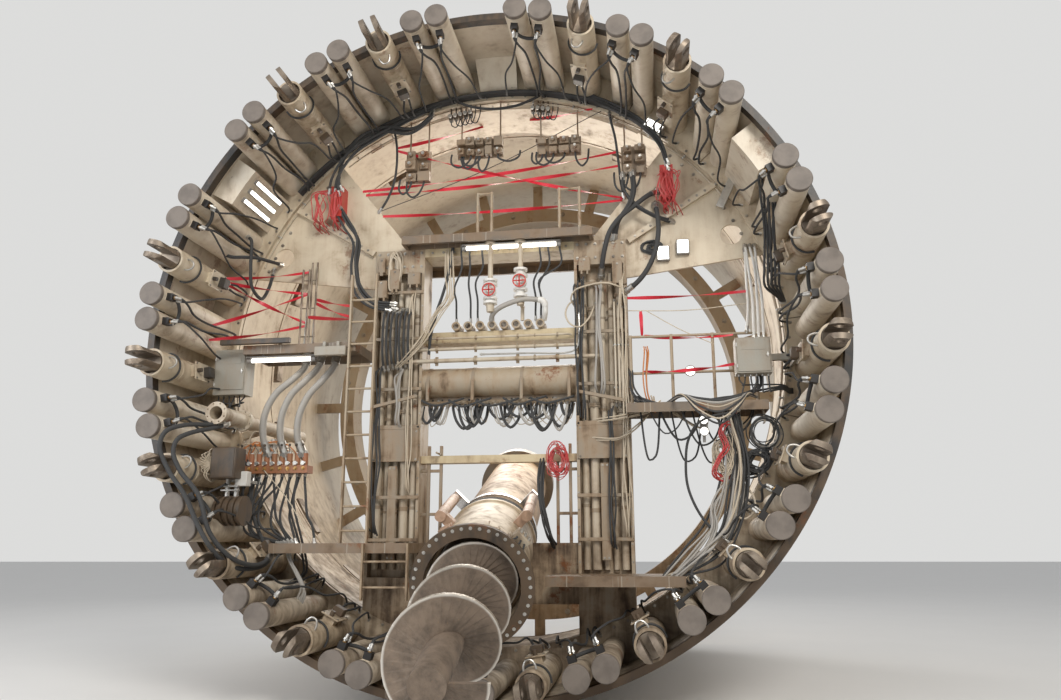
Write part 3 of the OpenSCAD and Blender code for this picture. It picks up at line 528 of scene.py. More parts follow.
def weathering(finish, base, grime, rust, runs):
    """Colour, roughness and height of dirty, run-stained, chipped paint."""
    broad = finish.noise(0.55, 3)
    patches = finish.noise(3.1, 7, 0.62, bend=0.4)
    fine = finish.noise(38, 5, 0.6)
    streaks = finish.noise(1.0, 6, 0.6, stretch=(9, 9, 0.9))
    low = finish.z.below(0.4, 4.2)
    soil = patches * 0.62 + broad * 0.34 + low * 0.16 + (streaks - 0.5) * runs
    soil_mask = soil.above(0.50, 0.78) * grime
    film = soil.above(0.36, 0.66) * grime
    bloom = finish.noise(1.7, 9, 0.72, shift=(3.1, 1.7, 0.4))
    rust_mask = (bloom + fine * 0.12).above(0.64, 0.72) * rust
    chips = finish.noise(11, 8, 0.75, shift=(1.3, 5.2, 2.8)).above(0.66, 0.70) * rust
    tint = finish.blend(broad.above(0.3, 0.7), base, shade(base, 0.86))
    worn = finish.blend(film * 0.55, tint, OCHRE)
    soiled = finish.blend(soil_mask, worn, GRIME)
    rusted = finish.blend(rust_mask, soiled, RUST)
    chipped = finish.blend(chips, rusted, shade(RUST, 0.6))
    rough = 0.42 + soil_mask * 0.34 + rust_mask * 0.3 + fine * 0.08
    height = patches * 0.5 + fine * 0.35 - chips * 0.4 - rust_mask * 0.2
    return chipped, rough, height


def paint(name, base, grime=0.8, rust=0.7, runs=0.45):
    """Dirty paint on steel."""
    finish = Finish(name)
    colour, rough, height = weathering(finish, base, grime, rust, runs)
    return finish.surface(colour, rough, 0.0, finish.bump(height, 0.35, 0.012))


def jack_paint(name, base, cap, block):
    """Paint of the jack barrels, with bare caps and black port blocks."""
    finish = Finish(name)
    colour, rough, height = weathering(finish, base, 0.7, 0.45, 0.3)
    is_cap = finish.y.below(CAP_FRONT + 0.0595, CAP_FRONT + 0.0605)
    near_block = finish.y.between(CAP_FRONT + 0.118, CAP_FRONT + 0.232, 0.002)
    is_block = near_block * finish.axis_radius().below(3.978, 3.982)
    dull = finish.blend(finish.noise(5, 6).above(0.35, 0.7), cap, shade(cap, 0.7))
    capped = finish.blend(is_cap, colour, dull)
    blocked = finish.blend(is_block, capped, block)
    return finish.surface(blocked, rough + is_cap * 0.12, 0.0, finish.bump(height, 0.3, 0.010))


def bare_metal(name, base, dirt=0.5, rough=0.38, rust=0.3):
    """Oiled, scratched steel with dirt in the hollows."""
    finish = Finish(name)
    clouds = finish.noise(4.2, 7, 0.65)
    scratch = finish.noise(30, 5, 0.7, stretch=(1, 0.08, 1))
    spots = finish.noise(14, 8, 0.7, shift=(4.2, 0.3, 1.1))
    dirt_mask = clouds.above(0.42, 0.68) * dirt
    rust_mask = spots.above(0.58, 0.68) * rust
    colour = finish.blend(dirt_mask, base, GRIME)
    colour = finish.blend(rust_mask, colour, RUST)
    roughness = rough + dirt_mask * 0.4 + rust_mask * 0.3 + scratch * 0.12
    metallic = 1 - dirt_mask - rust_mask * 0.6
    height = scratch * 0.4 + clouds * 0.5
    return finish.surface(colour, roughness, metallic, finish.bump(height, 0.25, 0.006))


def screw_steel(name, base, bright):
    """Muddy screw whose flight edges are worn bright."""
    finish = Finish(name)
    mud = finish.noise(5.5, 8, 0.7)
    grain = finish.noise(46, 5, 0.65)
    edge = (finish.screw_radius() + mud * 0.02).above(0.478, 0.502)
    film = mud.above(0.35, 0.72)
    colour = finish.blend(film, base, shade(base, 0.45))
    colour = finish.blend(grain.above(0.6, 0.75) * 0.4, colour, OCHRE)
    colour = finish.blend(edge, colour, bright)
    roughness = 0.62 - edge * 0.32 + grain * 0.15
    height = mud * 0.6 + grain * 0.4
    return finish.surface(colour, roughness, edge * 0.9, finish.bump(height, 0.5, 0.012))


def rubber(name, base, dusty=0.35):
    """Hose rubber with a film of dust."""
    finish = Finish(name)
    dust = finish.noise(7, 6, 0.65).above(0.45, 0.75) * dusty
    weave = finish.noise(120, 2)
    colour = finish.blend(dust, base, DUST)
    return finish.surface(colour, 0.46 + dust * 0.4, 0.0, finish.bump(weave, 0.2, 0.002))


def tape(name, base):
    """Thin plastic tape, creased and dusty."""
    finish = Finish(name)
    creases = finish.noise(60, 4, 0.6)
    dust = finish.noise(9, 5).above(0.5, 0.8) * 0.35
    colour = finish.blend(dust, base, shade(base, 0.55))
    return finish.surface(colour, 0.38 + dust * 0.4, 0.0, finish.bump(creases, 0.4, 0.003))


def twisted_rope(name, base):
    """Laid fibre rope."""
    finish = Finish(name)
    strands = finish.noise(90, 3, stretch=(1, 0.3, 1))
    colour = finish.blend(strands.above(0.4, 0.7), base, shade(base, 0.6))
    return finish.surface(colour, 0.85, 0.0, finish.bump(strands, 0.6, 0.004))


def tread_plate(name, base):
    """Worn walkway plate with raised bars."""
    finish = Finish(name)
    colour, rough, height = weathering(finish, base, 0.9, 0.8, 0.2)
    bars = finish.cells(26, (1, 2.2, 0.01)).below(0.16, 0.24)
    shiny = finish.blend(bars * 0.5, colour, DUST)
    return finish.surface(shiny, rough - bars * 0.1, 0.0, finish.bump(bars + height * 0.3, 0.4, 0.006))


def lit_cover(name):
    """Milky cover lit from inside: on the lamps, and on the haunch panels, where its glow is painted light.
    """
    finish = Finish(name)
    spread = finish.noise(9, 3).above(0.2, 0.8)
    colour = finish.blend(spread, (0.92, 0.92, 0.90), (0.80, 0.80, 0.76))
    glow = {"Emission Color": (1.0, 0.97, 0.90, 1), "Emission Strength": settings().lamp_and_panel_glow}
    return finish.surface(colour, 0.35, 0.0, None, **glow)


PALE_STEEL = (0.58, 0.57, 0.54)
FINISHES = {
    "black_rim": lambda n: paint(n, (0.018, 0.018, 0.018), 0.5, 0.5, 0.3),
    "hull_cream": lambda n: paint(n, tuple(settings().pale), 0.6, 0.5),
    # Hull, tail skin and jack barrels take the pale cream, the lit tone of the cream paint: painted light.
    "ring_cream": lambda n: paint(n, tuple(settings().cream), 0.8, 0.5),
    "tail_cream": lambda n: paint(n, tuple(settings().pale), 0.5, 0.4),
    "tail_ring_tan": lambda n: paint(n, tuple(settings().frame_tan), 0.7, 0.6),
    "jack_cream": lambda n: jack_paint(
        n, tuple(settings().pale), (0.19, 0.16, 0.135), (0.016, 0.014, 0.013)
    ),
    "ram_cream": lambda n: paint(n, tuple(settings().cream), 0.8, 0.5),
    "frame_tan": lambda n: paint(n, tuple(settings().frame_tan), 1.0, 0.9, 0.7),
    "haunch_cream": lambda n: paint(n, tuple(settings().cream), 0.75, 0.6),
    "beam_cream": lambda n: paint(n, (0.60, 0.50, 0.32), 0.8, 0.6),
    "fittings_tan": lambda n: paint(n, (0.38, 0.31, 0.22), 0.9, 0.9, 0.6),
    "pipe_cream": lambda n: paint(n, (0.56, 0.49, 0.38), 0.8, 0.6),
    "column_pipe": lambda n: paint(n, (0.36, 0.30, 0.225), 1.0, 0.9, 0.7),
    "column_brown": lambda n: paint(n, (0.30, 0.245, 0.18), 1.0, 1.0, 0.7),
    "unit_brown": lambda n: paint(n, (0.30, 0.235, 0.17), 0.9, 0.9, 0.5),
    "tread_plate": lambda n: tread_plate(n, (0.17, 0.14, 0.11)),
    "lamp_grey": lambda n: paint(n, (0.30, 0.30, 0.29), 0.5, 0.3),
    "cabinet_grey": lambda n: paint(n, (0.35, 0.33, 0.28), 0.6, 0.4),
    "box_black": lambda n: paint(n, (0.05, 0.045, 0.04), 0.5, 0.3),
    "grease_red": lambda n: paint(n, tuple(settings().red), 0.45, 0.3),
    "valve_copper": lambda n: paint(n, (0.34, 0.13, 0.06), 0.7, 0.9),
    "tube_cream": lambda n: paint(n, (0.60, 0.44, 0.27), 0.8, 0.8),
    "retract_pink": lambda n: paint(n, (0.50, 0.33, 0.24), 0.7, 0.6),
    "drive_grey": lambda n: paint(n, (0.28, 0.27, 0.25), 0.6, 0.5),
    "rod_chrome": lambda n: bare_metal(n, (0.74, 0.74, 0.74), 0.15, 0.16, 0.05),
    "oiled_steel": lambda n: bare_metal(n, (0.30, 0.25, 0.20), 0.75, 0.42, 0.5),
    "bolt_steel": lambda n: bare_metal(n, (0.42, 0.39, 0.34), 0.6, 0.4, 0.5),
    "fitting_steel": lambda n: bare_metal(n, PALE_STEEL, 0.35, 0.30, 0.2),
    "brass": lambda n: bare_metal(n, (0.60, 0.38, 0.15), 0.5, 0.35, 0.2),
    "weld_bead": lambda n: bare_metal(n, (0.36, 0.30, 0.23), 0.7, 0.5, 0.5),
    "screw_steel": lambda n: screw_steel(n, (0.20, 0.150, 0.110), (0.66, 0.62, 0.56)),
    "hose_rubber": lambda n: rubber(n, (0.016, 0.015, 0.014)),
    "grey_hose": lambda n: rubber(n, (0.36, 0.34, 0.31), 0.5),
    "cream_cable": lambda n: rubber(n, (0.52, 0.44, 0.33), 0.5),
    "orange_cable": lambda n: rubber(n, (0.55, 0.20, 0.06), 0.4),
    "red_cable": lambda n: rubber(n, (0.50, 0.05, 0.05), 0.3),
    "red_tape": lambda n: tape(n, (0.62, 0.02, 0.04)),
    "pale_rope": lambda n: twisted_rope(n, (0.66, 0.58, 0.45)),
    "dark_rope": lambda n: twisted_rope(n, (0.09, 0.08, 0.07)),
    "white_paint": lambda n: paint(n, (0.80, 0.79, 0.75), 0.4, 0.3),
    "lamp_cover": lit_cover,
}


def finished(name):
    """The finish of that name, made when it is first asked for."""
    return bpy.data.materials.get(name) or FINISHES[name](name)


NODE_FINISHES = {
    "black_rim": ("rim_ring", "screw_flange"),
    "hull_cream": ("middle_skin", "tail_joint", "bay_covers"),
    "ring_cream": ("jack_ring",),
    "tail_cream": ("tail_skin",),
    "tail_ring_tan": ("tail_ring",),
    "jack_cream": ("jack_barrels",),
    "ram_cream": ("ram_barrels",),
    "frame_tan": ("columns", "tie_beam", "screw_cradle"),
    "haunch_cream": ("haunches", "screw_casing"),
    "beam_cream": ("cross_beams",),
    "fittings_tan": ("ladders", "railings", "valve_row"),
    "pipe_cream": ("pipe_runs",),
    "tread_plate": ("top_walkway", "left_decks", "right_decks"),
    "cabinet_grey": ("control_boxes",),
    "grease_red": ("grease_units",),
    "valve_copper": ("valve_bank",),
    "tube_cream": ("screw_tube",),
    "retract_pink": ("retract_barrels",),
    "drive_grey": ("screw_drive",),
    "rod_chrome": (*(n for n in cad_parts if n.startswith("jack_rods_")), "retract_rods"),
    "oiled_steel": tuple(
        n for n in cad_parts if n.startswith(("jack_shoes_", "rams_"))
    ),
    "screw_steel": ("auger",),
    "hose_rubber": ("port_hoses", "ring_hoses", "screw_seal"),
}


# Sizes and colours that a user would change


def paint_colour(name, description, default):
    """A paint colour for the panel."""
    return FloatVectorProperty(
        name=name, description=description, subtype="COLOR", default=default, min=0, max=1
    )


class ShieldSettings(bpy.types.PropertyGroup):
    """Colours and sizes of the shield's dressing."""

    cream: paint_colour("Cream", "Paint of the hull, jacks and frame", (0.66, 0.57, 0.43))
    # Pale cream is the lit tone of the cream paint: painted light on the skins and jack barrels.
    pale: paint_colour("Pale cream", "Cleaner paint high up in the hull", (0.74, 0.66, 0.53))
    frame_tan: paint_colour("Frame tan", "Dirtier paint of the inner frame", (0.40, 0.33, 0.24))
    red: paint_colour("Red", "Paint of the grease distributors", (0.52, 0.035, 0.03))
    # Glow of the lamp covers and of the haunch panels, where it is painted light.
    lamp_and_panel_glow: FloatProperty(
        name="Lamp glow",
        description="Strength of the lit lamp covers",
        default=3.0,
        min=0,
        max=20,
    )
    tape_width: FloatProperty(
        name="Tape width",
        description="Width of the red tapes",
        subtype="DISTANCE",
        default=0.05,
        min=0.02,
        max=0.1,
    )
    port_hose: FloatProperty(
        name="Port hose",
        description="Radius of the hoses from the jacks to the ring",
        subtype="DISTANCE",
        default=0.015,
        min=0.008,
        max=0.03,
    )
    hose_sides: IntProperty(name="Hose sides", description="Faces round a hose", default=8, min=5, max=24)
    camera_focal: FloatProperty(
        name="Focal length",
        description="Focal length of the camera in millimetres",
        default=28.27,
        min=10,
        max=200,
    )
    camera_turn: FloatVectorProperty(
        name="Camera turn",
        description="How the camera is turned",
        subtype="EULER",
        default=tuple(math.radians(a) for a in (103.23, 0.149, 8.284)),
    )
    camera_place: FloatVectorProperty(
        name="Camera place",
        description="Where the camera stands",
        subtype="TRANSLATION",
        unit="LENGTH",
        default=(2.052, -9.727, 1.802),
    )


def settings():
    """The values that a user may change in the panel."""
    return bpy.context.scene.shield_dressing


# Making pieces

SHARP_ANGLE = math.radians(38)


def new_piece(name, mesh, finish_name):
    """Links a finished mesh as a piece that rides on the shield."""
    piece = bpy.data.objects.new(name, mesh)
    bpy.context.scene.collection.objects.link(piece)
    if finish_name is not None:
        mesh.materials.clear()
        mesh.materials.append(finished(finish_name))
    mesh.shade_smooth()
    mesh.set_sharp_from_angle(angle=SHARP_ANGLE)
    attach(piece, "shield")
    return piece


def grown(name, growth_name, mesh, finish_name, **sizes):
    """Grows a geometry tree on a mesh and keeps the result as a piece."""
    tree = bpy.data.node_groups.get(growth_name) or GROWTHS[growth_name]()
    seed = bpy.data.objects.new(name + "_seed", mesh)
    bpy.context.scene.collection.objects.link(seed)
    modifier = seed.modifiers.new("growth", "NODES")
    modifier.node_group = tree
    values = {key.replace("_", " ").title(): value for key, value in sizes.items()}
    values["Material"] = finished(finish_name)
    for item in tree.interface.items_tree:
        if item.in_out == "INPUT" and item.name in values:
            modifier[item.identifier] = values[item.name]
    graph = bpy.context.evaluated_depsgraph_get()
    shape = bpy.data.meshes.new_from_object(seed.evaluated_get(graph), depsgraph=graph)
    bpy.data.objects.remove(seed)
    return new_piece(name, shape, None)


def scatter(name, growth_name, spots, finish_name, **sizes):
    """One piece of bolts, clamps or fittings, a unit on every spot."""
    return grown(name, growth_name, spots_mesh(name, spots), finish_name, **sizes)


def sweep(name, lines, finish_name, sides):
    """One piece of round hoses or pipes along lines."""
    return grown(name, "hose", lines_mesh(name, lines), finish_name, sides=sides)


def facing(x, y, z, size):
    """Spot of a bolt or clamp that faces the front."""
    return Vector((x, y, z)), AHEAD, UP, size


def spots_mesh(name, spots):
    """Points for a scattered unit: rows of place, aim, side and size."""
    mesh = bpy.data.meshes.new(name)
    mesh.from_pydata([spot[0] for spot in spots], [], [])
    for index, key in ((1, "aim"), (2, "side")):
        layer = mesh.attributes.new(key, "FLOAT_VECTOR", "POINT")
        layer.data.foreach_set("vector", [c for spot in spots for c in spot[index]])
    layer = mesh.attributes.new("size", "FLOAT", "POINT")
    layer.data.foreach_set("value", [spot[3] for spot in spots])
    return mesh


def smooth(points, step=0.05):
    """Points along one smooth curve through the given ones."""
    points = [Vector(point) for point in points]
    if len(points) == 2:
        count = max(1, math.ceil((points[1] - points[0]).length / step))
        return [points[0].lerp(points[1], i / count) for i in range(count + 1)]
    first = points[0] * 2 - points[1]
    last = points[-1] * 2 - points[-2]
    rail = [first, *points, last]
    found = []
    for a, b, c, d in zip(rail, rail[1:], rail[2:], rail[3:]):
        times = [0.0]
        for start, end in ((a, b), (b, c), (c, d)):
            times.append(times[-1] + max(1e-4, (end - start).length) ** 0.5)
        count = max(1, math.ceil((c - b).length / step))
        for i in range(count):
            t = times[1] + (times[2] - times[1]) * i / count
            found.append(spline_point((a, b, c, d), times, t))
    return [*found, points[-1]]


def spline_point(points, times, t):
    """Centripetal spline between the middle two of four points."""
    first = [points[i].lerp(points[i + 1], (t - times[i]) / (times[i + 1] - times[i])) for i in range(3)]
    second = [first[i].lerp(first[i + 1], (t - times[i]) / (times[i + 2] - times[i])) for i in range(2)]
    return second[0].lerp(second[1], (t - times[1]) / (times[2] - times[1]))


def lines_mesh(name, lines):
    """Lines for swept hoses: rows of radius and points."""
    places = []
    links = []
    radii = []
    for radius, points in lines:
        start = len(places)
        places.extend(points)
        radii.extend([radius] * len(points))
        links.extend((start + i, start + i + 1) for i in range(len(points) - 1))
    mesh = bpy.data.meshes.new(name)
    mesh.from_pydata(places, links, [])
    layer = mesh.attributes.new("size", "FLOAT", "POINT")
    layer.data.foreach_set("value", radii)
    return mesh


def hoses(name, routes, finish_name, step=0.05, ends=None):
    """Sweeps smooth hoses along routes: rows of radius and chosen points."""
    lines = [(radius, smooth(points, step)) for radius, points in routes]
    sweep(name, lines, finish_name, settings().hose_sides)
    if ends:
        fittings(name + "_ends", lines, ends)


def hoses_by_finish(prefix, found, step=0.05):
    """One piece of hoses for each finish, from routes sorted by finish."""
    for finish_name, routes in found.items():
        hoses(prefix + finish_name, routes, finish_name, step)


def bundle(rng, count, radius, spread, points):
    """Routes of a loose bundle that follows chosen points."""
    routes = []
    for _ in range(count):
        off = Vector((rng.uniform(-1, 1), rng.uniform(-0.6, 0.6), rng.uniform(-1, 1))) * spread
        line = [Vector(p) + off + Vector((rng.uniform(-1, 1), 0, rng.uniform(-1, 1))) * 0.012
                for p in points]
        routes.append((radius, line))
    return routes


def fittings(name, lines, finish_name):
    """Swaged fittings on both ends of each line."""
    spots = []
    for radius, points in lines:
        for end, near in ((points[0], points[1]), (points[-1], points[-2])):
            aim = (near - end).normalized()
            spots.append((end, aim, UP, radius))
    scatter(name, "fitting", spots, finish_name)


def measured(points):
    """Length along points."""
    return sum((b - a).length for a, b in zip(points, points[1:]))


FREE_HOSE_SIDES = 10
FREE_HOSE_STEP = 0.04


def free_hose(
    name,
    radius,
    points,
    finish_name,
):
    """One hose that hangs free between two places."""
    line = smooth(points, FREE_HOSE_STEP)
    piece = sweep(name, [(radius, line)], finish_name, FREE_HOSE_SIDES)
    measured(line)


TAPE_HALF_THICKNESS = 0.0012
TAPE_STEP = 0.05


def free_tape(name, width, start, end, sag, turns):
    """One tape stretched between two places, twisted as it goes."""
    start = Vector(start)
    end = Vector(end)
    along = (end - start).normalized()
    count = max(12, math.ceil((end - start).length / TAPE_STEP))
    face = along.cross(-AHEAD).normalized()
    shape = Shape()
    line = []
    rows = []
    for i in range(count + 1):
        t = i / count
        place = start.lerp(end, t) - UP * sag * 4 * t * (1 - t)
        turn = Matrix.Rotation(turns * math.pi * t, 3, along)
        pinch = 0.7 + 0.3 * min(1, 6 * t, 6 * (1 - t))
        across = turn @ face * width / 2 * pinch
        thick = (turn @ face).cross(along).normalized() * TAPE_HALF_THICKNESS
        rows.append([place + across + thick, place - across + thick,
                     place - across - thick, place + across - thick])
        line.append(place)
    shape.loft(rows)
    piece = shape.keep(name, "red_tape")
    measured(line)


TANGLE_TURNS = 2.2
TANGLE_DRIFT = 0.16


def tangle(seed, centre, reach, count, radius):
    """Routes of a bunch of loose loops round a centre."""
    rng = random.Random(seed)
    centre = Vector(centre)
    reach = Vector(reach)
    routes = []
    for _ in range(count):
        phase = rng.uniform(0, math.tau)
        size = rng.uniform(0.45, 1.0)
        tilt = rng.uniform(-0.5, 0.5)
        span = TANGLE_TURNS * rng.uniform(0.6, 1.2) * math.tau
        points = []
        steps = max(6, int(span / 0.7))
        for i in range(steps + 1):
            angle = phase + span * i / steps
            drift = rng.uniform(-TANGLE_DRIFT, TANGLE_DRIFT)
            offset = Vector((
                math.cos(angle) * size + drift,
                math.sin(angle * 0.5 + phase) * 0.8,
                math.sin(angle) * size + tilt * math.cos(angle) + drift,
            ))
            points.append(centre + Vector(a * b for a, b in zip(offset, reach)))
        routes.append((radius, points))
    return routes


class Shape:
    """Collects closed solids into one mesh."""

    def __init__(self):
        self.bm = bmesh.new()

    def brick(self, low, high, place=Matrix(), bevel=0.004):
        low = Vector(low)
        high = Vector(high)
        size = Matrix.Diagonal((*(high - low), 1))
        matrix = place @ Matrix.Translation((low + high) / 2) @ size
        made = bmesh.ops.create_cube(self.bm, size=1, matrix=matrix)
        if bevel:
            edges = list(dict.fromkeys(e for vert in made["verts"] for e in vert.link_edges))
            bmesh.ops.bevel(self.bm, geom=edges, offset=bevel, segments=1, affect="EDGES")

    def drum(self, start, end, radius, place=Matrix(), sides=20, end_radius=None):
        start = place @ Vector(start)
        end = place @ Vector(end)
        axis = end - start
        turn = axis.to_track_quat("Z", "Y").to_matrix().to_4x4()
        bmesh.ops.create_cone(
            self.bm,
            cap_ends=True,
            segments=sides,
            radius1=radius,
            radius2=radius if end_radius is None else end_radius,
            depth=axis.length,
            matrix=Matrix.Translation((start + end) / 2) @ turn,
        )

    def ball(self, centre, radius):
        bmesh.ops.create_uvsphere(
            self.bm,
            u_segments=12,
            v_segments=8,
            radius=radius,
            matrix=Matrix.Translation(centre),
        )

    def hoop(self, centre, axis, outer, inner, depth, sides=28):
        """Flat ring with a square section."""
        axis = Vector(axis).normalized()
        turn = axis.to_track_quat("Z", "Y").to_matrix().to_4x4()
        spin = Matrix.Translation(centre) @ turn
        rows = []
        for i in range(sides):
            angle = math.tau * i / sides
            arm = Vector((math.cos(angle), math.sin(angle), 0))
            rows.append([
                spin @ (arm * outer - UP * depth / 2),
                spin @ (arm * outer + UP * depth / 2),
                spin @ (arm * inner + UP * depth / 2),
                spin @ (arm * inner - UP * depth / 2),
            ])
        self.loft(rows, ring=True)

    def loft(self, rows, ring=False):
        """Skin over rows of points of equal length."""
        made = [[self.bm.verts.new(point) for point in row] for row in rows]
        faces = []
        count = len(made[0])
        pairs = list(zip(made, made[1:]))
        if ring:
            pairs.append((made[-1], made[0]))
        for first, second in pairs:
            for i in range(count):
                j = (i + 1) % count
                faces.append(self.bm.faces.new((first[i], first[j], second[j], second[i])))
        if not ring:
            faces.append(self.bm.faces.new(list(reversed(made[0]))))
            faces.append(self.bm.faces.new(made[-1]))
        bmesh.ops.recalc_face_normals(self.bm, faces=faces)

    def keep(self, name, finish_name):
        """Ends the shape as a piece of that name."""
        mesh = bpy.data.meshes.new(name)
        self.bm.to_mesh(mesh)
        self.bm.free()
        return new_piece(name, mesh, finish_name)


def give(node_names, material):
    """Puts a finish on CAD nodes."""
    for node_name in node_names:
        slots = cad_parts[node_name].data.materials
        slots.clear()
        slots.append(material)


# Steps

FLOOR_REACH = 90


class SHIELD_OT_stage(bpy.types.Operator):
    """Sets the floor, the lights and the camera"""

    bl_idname = "shield.stage"
    bl_label = "Stage"

    def execute(self, context):
        scene = context.scene
        chosen = settings()
        scene.view_settings.view_transform = "Standard"
        self.make_floor()
        self.make_world(scene)
        self.make_lights()
        camera_data = bpy.data.cameras.new("camera")
        camera_data.lens = chosen.camera_focal
        camera_data.sensor_width = 36
        camera = bpy.data.objects.new("camera", camera_data)
        camera.location = chosen.camera_place
        camera.rotation_euler = chosen.camera_turn
        scene.collection.objects.link(camera)
        scene.camera = camera
        return {"FINISHED"}

    @staticmethod
    def make_floor():
        """Plain pale floor."""
        reach = FLOOR_REACH
        mesh = bpy.data.meshes.new("floor")
        corners = [(-reach, -reach), (reach, -reach), (reach, reach), (-reach, reach)]
        mesh.from_pydata([(x, y, 0) for x, y in corners], [], [(0, 1, 2, 3)])
        floor = bpy.data.objects.new("floor", mesh)
        bpy.context.scene.collection.objects.link(floor)
        finish = Finish("floor_plain")
        grain = finish.noise(0.7, 3)
        colour = finish.blend(grain, (0.76, 0.75, 0.73), (0.80, 0.79, 0.77))
        mesh.materials.append(finish.surface(colour, 0.9))

    @staticmethod
    def make_world(scene):
        """Soft light from all round, and a plain backdrop."""
        world = bpy.data.worlds.new("studio")
        scene.world = world
        world.use_nodes = True
        bench = NodeBench(world.node_tree)
        bench.tree.nodes.clear()
        rays = bench.node("ShaderNodeLightPath")
        seen = bench.math("MAXIMUM", rays.outputs["Is Camera Ray"], rays.outputs["Is Glossy Ray"])
        seen = bench.math("MAXIMUM", seen, rays.outputs["Is Transmission Ray"])
        soft = bench.node("ShaderNodeBackground", {}, {"Color": (0.95, 0.97, 1.0, 1), "Strength": 0.50})
        backdrop = bench.node("ShaderNodeBackground", {}, {"Color": (0.80, 0.80, 0.79, 1), "Strength": 0.9})
        mixed = bench.node("ShaderNodeMixShader", {}, {0: seen, 1: soft.outputs[0], 2: backdrop.outputs[0]})
        bench.node("ShaderNodeOutputWorld", {}, {"Surface": mixed.outputs[0]})

    @staticmethod
    def make_lights():
        """Soft lights round the shield and inside it."""
        # place, aim, size, power, colour
        lamps = {
            "key": ((7, -14, 14), (0, 0, 4), 7, 2150, (1.0, 0.96, 0.90)),
            "fill": ((-11, -10, 7), (0, 0, 4), 8, 900, (0.92, 0.95, 1.0)),
            "inside_top": ((0, 3.6, 7.4), (0, 1.0, 3.5), 3.2, 120, (1.0, 0.93, 0.82)),
            "inside_tail": ((0, 6.2, 5.5), (0, 0, 4.0), 4.0, 130, (1.0, 0.92, 0.82)),
            "back": ((-4, 17, 12), (0, 4, 4), 8, 560, (1.0, 0.98, 0.95)),
        }
        for name, (place, aim, size, power, colour) in lamps.items():
            data = bpy.data.lights.new(name, "AREA")
            data.shape = "DISK"
            data.size = size
            data.energy = power
            data.color = colour
            lamp = bpy.data.objects.new(name, data)
            lamp.location = place
            turn = (Vector(aim) - Vector(place)).to_track_quat("-Z", "Y")
            lamp.rotation_euler = turn.to_euler()
            bpy.context.scene.collection.objects.link(lamp)


class SHIELD_OT_tapes(bpy.types.Operator):
    """Stretches the red tapes and the ropes across the openings"""

    bl_idname = "shield.tapes"
    bl_label = "Tapes and ropes"

    # start, end, sag, half turns
    TAPES = {
        "top_a": ((-1.535, 1.245, 7.56), (-0.39, 2.00, 8.225), 0.02, 1),
        "top_b": ((-1.535, 1.245, 7.52), (1.785, 1.335, 6.59), 0.05, 3),
        "top_c": ((-2.067, 1.335, 6.943), (1.715, 1.262, 7.27), 0.06, 2),
        "top_d": ((-2.016, 1.335, 6.88), (1.735, 1.275, 7.06), 0.06, 3),
        "top_e": ((-1.74, 1.335, 6.53), (1.762, 1.335, 6.56), 0.04, 2),
        "top_f": ((0.366, 1.90, 8.225), (1.377, 1.285, 7.99), 0.02, 1),
        "left_a": ((-3.88, 0.75, 5.486), (-2.822, 1.33, 5.72), 0.03, 1),
        "left_b": ((-3.83, 0.75, 5.43), (-2.82, 1.30, 5.376), 0.02, 1),
        "left_c": ((-3.83, 0.75, 5.43), (-2.82, 1.29, 4.937), 0.03, 2),
        "left_d": ((-3.97, 0.75, 4.80), (-2.82, 1.30, 5.37), 0.02, 1),
        "left_e": ((-3.98, 0.75, 4.60), (-2.82, 1.29, 4.895), 0.03, 1),
        "left_f": ((-2.70, 1.30, 5.29), (-1.84, 0.50, 4.92), 0.01, 1),
        "left_g": ((-2.70, 1.30, 5.24), (-1.84, 0.50, 4.77), 0.02, 1),
        "left_h": ((-2.82, 1.29, 5.03), (-1.84, 0.50, 4.74), 0.01, 0.5),
        "right_a": ((1.97, 1.275, 4.90), (1.98, 1.243, 4.53), 0.00, 0.3),
        "right_b": ((1.795, 1.29, 5.10), (3.385, 1.205, 5.10), 0.02, 1),
        "right_c": ((2.01, 1.236, 4.545), (3.17, 1.21, 4.517), 0.04, 1),
        "right_d": ((1.97, 1.227, 4.05), (3.13, 0.90, 4.05), 0.03, 2),
    }
    # finish, radius, points
    ROPES = {
        "rope_top": ("dark_rope", 0.006, [
            (-1.80, 1.335, 6.605), (-0.2, 1.29, 7.14), (1.50, 1.285, 7.94)]),
        "rope_right_a": ("pale_rope", 0.006, [
            (1.795, 1.29, 4.92), (2.60, 1.24, 4.88), (3.385, 1.20, 4.93)]),
        "rope_right_b": ("pale_rope", 0.006, [
            (2.05, 1.27, 4.90), (2.48, 1.24, 4.62), (2.92, 1.21, 4.39)]),
        "rope_low_left": ("pale_rope", 0.006, [
            (-3.02, 0.70, 2.79), (-2.58, 0.58, 2.36), (-2.20, 0.45, 1.845)]),
        "chain_left_a": ("fitting_steel", 0.010, [
            (-2.82, 1.335, 5.76), (-2.82, 1.30, 5.1), (-2.82, 1.27, 4.435)]),
        "chain_left_b": ("fitting_steel", 0.010, [
            (-2.70, 1.335, 5.80), (-2.70, 1.30, 5.1), (-2.70, 1.27, 4.435)]),
    }

    def execute(self, context):
        width = settings().tape_width
        for name, (finish_name, radius, points) in self.ROPES.items():
            free_hose(name, radius, points, finish_name)
        for name, (start, end, sag, turns) in self.TAPES.items():
            free_tape("tape_" + name, width, start, end, sag, turns)
        return {"FINISHED"}


